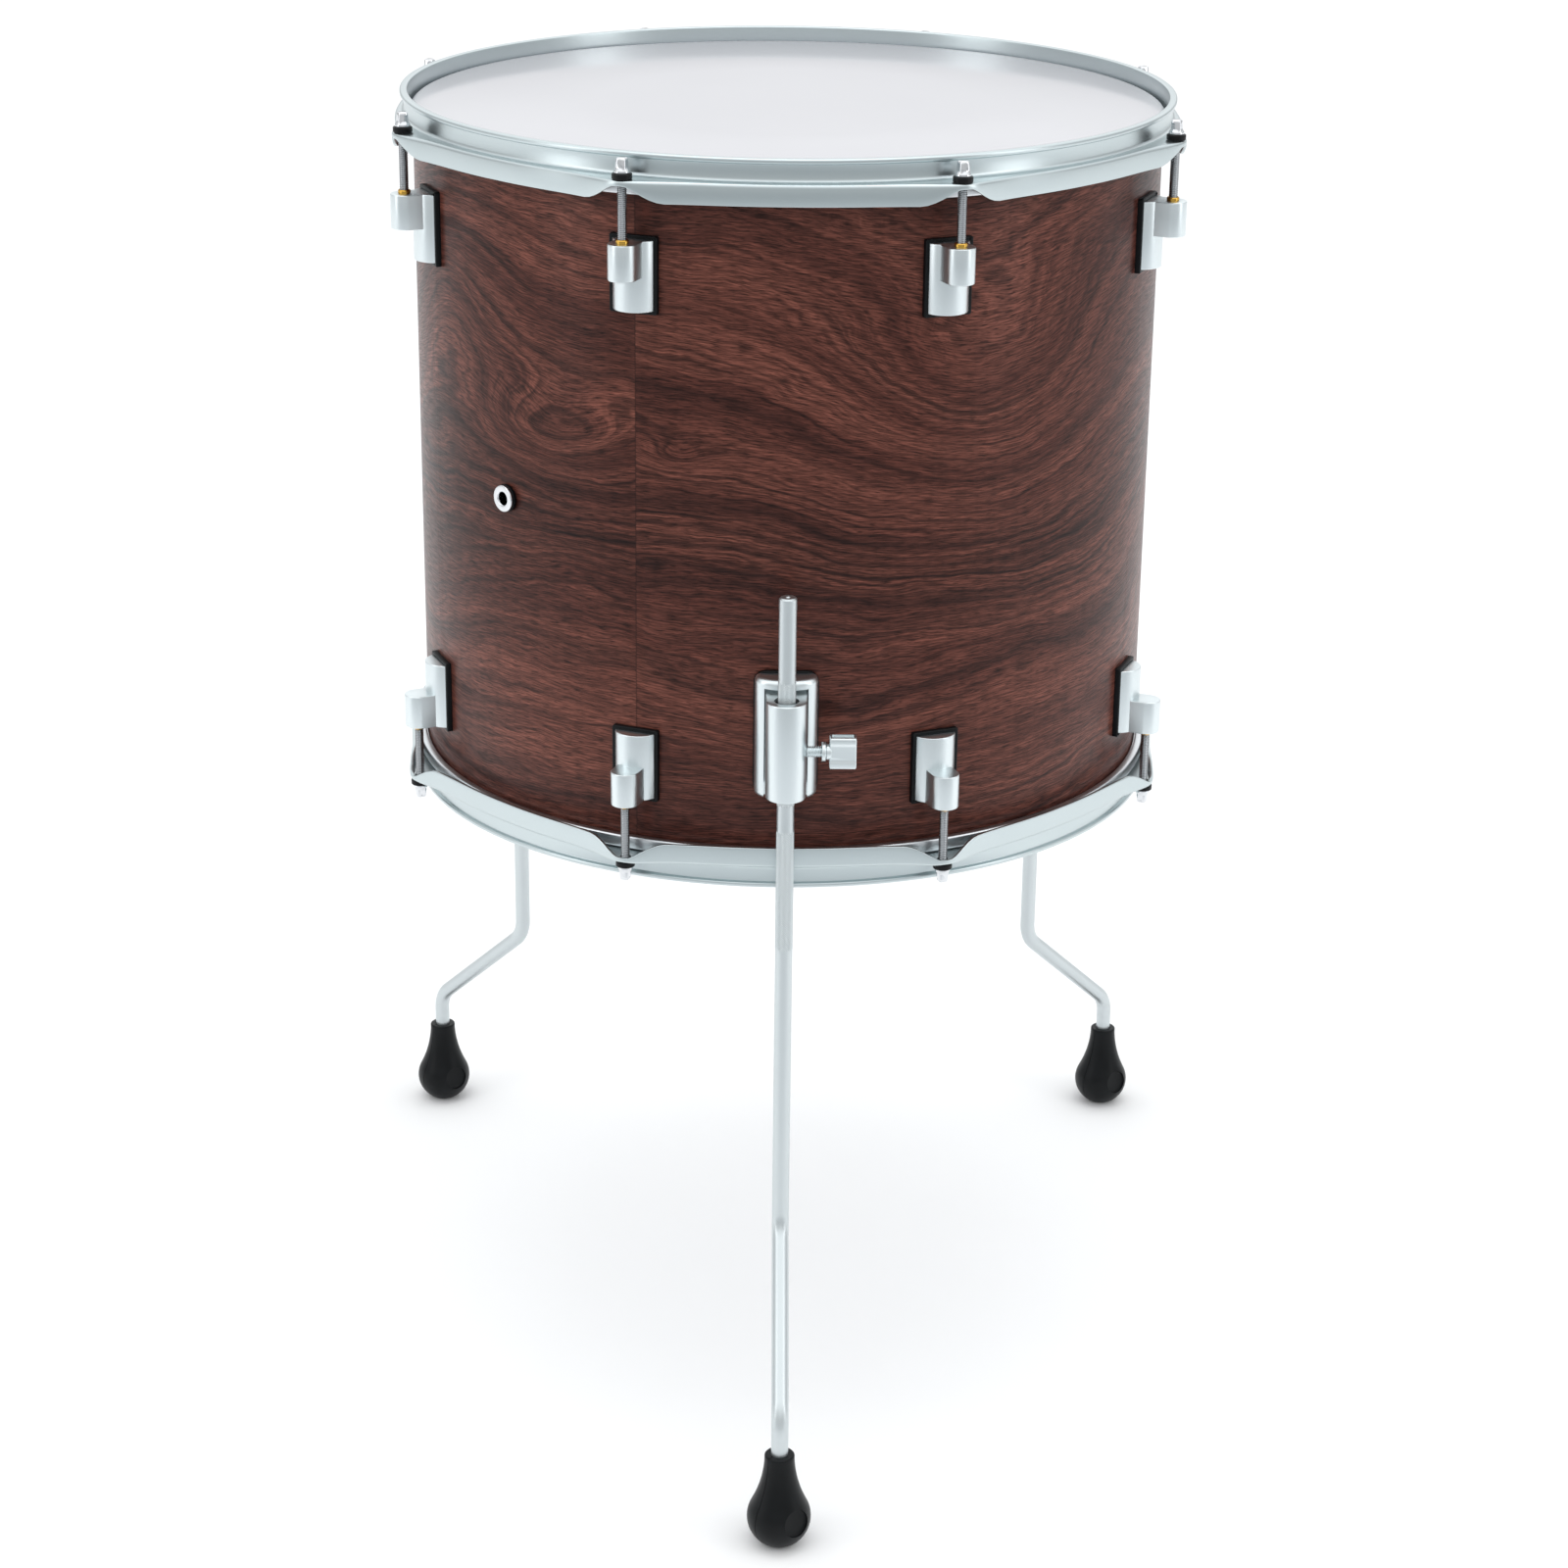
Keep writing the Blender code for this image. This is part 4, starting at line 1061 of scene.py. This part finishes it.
def add_legs():
    bracket, pad, bush = bracket_mesh(), bracket_gasket_mesh(), sleeve_mesh()
    bar, foot = leg_mesh(), foot_mesh()
    screw, ring_washer = thumb_screw_mesh(), thumb_washer_mesh()
    for leg, azimuth in leg_azimuths.items():
        upright = stand(azimuth, LEG_CIRCLE, 0.0)
        cross = stand(azimuth, LEG_CIRCLE, SCREW_HEIGHT)
        # every foot keeps its dimple to the right of the front
        foot_place = Matrix.Translation(stand(azimuth, FOOT_CIRCLE, 0.0).translation)
        for name, mesh, material, body, place, slot, stands_for in (
                ("bracket_casting", bracket, satin, "drum", upright, "satin_chrome", f"leg_bracket_{leg}"),
                ("bracket_gasket", pad, rubber, "drum", upright, "black_rubber", None),
                ("split_bush", bush, nylon, f"swivel_{leg}", upright, "black_nylon", f"leg_sleeve_{leg}"),
                ("bent_leg", bar, leg_metal, f"support_{leg}", upright, "leg_chrome", f"leg_{leg}"),
                ("rubber_foot", foot, rubber, f"support_{leg}", foot_place, "black_rubber", f"foot_{leg}"),
                ("winged_screw", screw, satin, f"clamp_screw_{leg}", cross, "satin_chrome",
                 f"thumb_screw_{leg}"),
                ("screw_washer", ring_washer, satin, f"clamp_washer_{leg}", cross, "satin_chrome",
                 f"thumb_washer_{leg}")):
            piece(f"{name}_{leg}", mesh, material, body, place, slot, stands_for)


# ---- stage
def add_area_light(name, location, target, size, power):
    light = bpy.data.lights.new(name, "AREA")
    light.shape = "RECTANGLE"
    light.size = size[0]
    light.size_y = size[1]
    light.energy = power
    item = linked(name, light)
    item.location = location
    aim = Vector(target) - Vector(location)
    item.rotation_euler = aim.to_track_quat("-Z", "Y").to_euler()


def add_floor():
    """A pale floor, with painted shade that turns it grey in front, towards the camera."""
    work = bmesh.new()
    bmesh.ops.create_grid(work, x_segments=1, y_segments=1, size=14.0)
    mesh = finished(work, "floor")
    m, shader = surface("pale_floor", {"Roughness": 0.8, "Specular IOR Level": 0.1})
    place = object_place(m)
    back = node(m, "SeparateXYZ", {0: place}).outputs[1]
    pale = blend(m, noise(m, place, 1.5), rgb(252, 252, 252), rgb(249, 249, 249))
    # painted shade: the floor's colour is greyed in front of the drum, towards the camera
    painted_shade_in_front = blend(m, spread(m, back, -2.7, -1.7), rgb(168, 171, 173), rgb(214, 216, 218))
    feed(m, shader, "Base Color", blend(m, spread(m, back, -0.8, -0.45), painted_shade_in_front, pale))
    mesh.materials.append(m)
    floor = linked("floor", mesh)
    floor.location = (0.0, 0.0, FLOOR)


def add_world():
    """Soft surroundings: brightest above, nearly even round the horizon, with a bright band behind."""
    world = bpy.data.worlds.new("studio")
    world.use_nodes = True
    scene.world = world
    split = node(world, "SeparateXYZ", {0: node(world, "TexCoord").outputs["Generated"]})
    back, up = split.outputs[1], split.outputs[2]
    low_level = spread(world, back, -0.96, -0.55, 0.66, 0.6)
    upper = spread(world, up, 0.3, 0.75)
    level = maths(world, "MULTIPLY_ADD", upper, minus(world, 1.3, low_level), low_level)
    off_band = maths(world, "ABSOLUTE", minus(world, up, 0.33))
    band = times(world, spread(world, off_band, 0.12, 0.26, 1.0, 0.0), spread(world, back, 0.7, 0.92))
    light = maths(world, "MULTIPLY_ADD", band, 0.6, level)
    background = world.node_tree.nodes["Background"]
    feed(world, background, "Strength", light)
    background.inputs["Color"].default_value = (0.975, 0.99, 1.0, 1.0)


def add_lights():
    aim = (0.0, 0.05, 0.55)
    for side, x in (("left", -2.2), ("right", 2.2)):
        add_area_light(f"{side}_window", (x, -1.0, 1.3), aim, (0.7, 2.2), 7.0)
    add_area_light("overhead", (0.0, 0.0, 2.8), aim, (1.8, 1.0), 8.0)


def add_camera():
    """The camera stands in front of the drum and looks down on it by 21 degrees."""
    yaw = radians(-0.781)
    pitch = radians(21.022)
    roll = radians(0.7105)
    reach = Vector((0.0025, -2.1337, 1.1696 + FLOOR))
    camera = bpy.data.cameras.new("camera")
    camera.sensor_width = 36.0
    camera.lens = 79.88
    item = linked("camera", camera)
    turn = Matrix.Rotation(yaw, 4, "Z")
    look = Matrix.Rotation(pi / 2 - pitch, 4, "X") @ Matrix.Rotation(roll, 4, "Z")
    item.matrix_world = Matrix.Translation(AXIS) @ turn @ Matrix.Translation(reach) @ look
    scene.camera = item


# ---- assembly
scene.view_settings.view_transform = "Standard"

hoop, ring, skin_film = hoop_mesh(), flesh_hoop_mesh(), film_mesh()
rod, rod_washer = rod_mesh(), rod_washer_mesh()
lug, gasket, nut = lug_mesh(), lug_gasket_mesh(), nut_mesh()
add_camera()
add_world()
add_lights()
add_floor()
add_shell()
add_vent()
add_inner_screws()
add_head("batter", "batter_rim", down=False)
add_head("resonant", "resonant_rim", down=True)
add_legs()
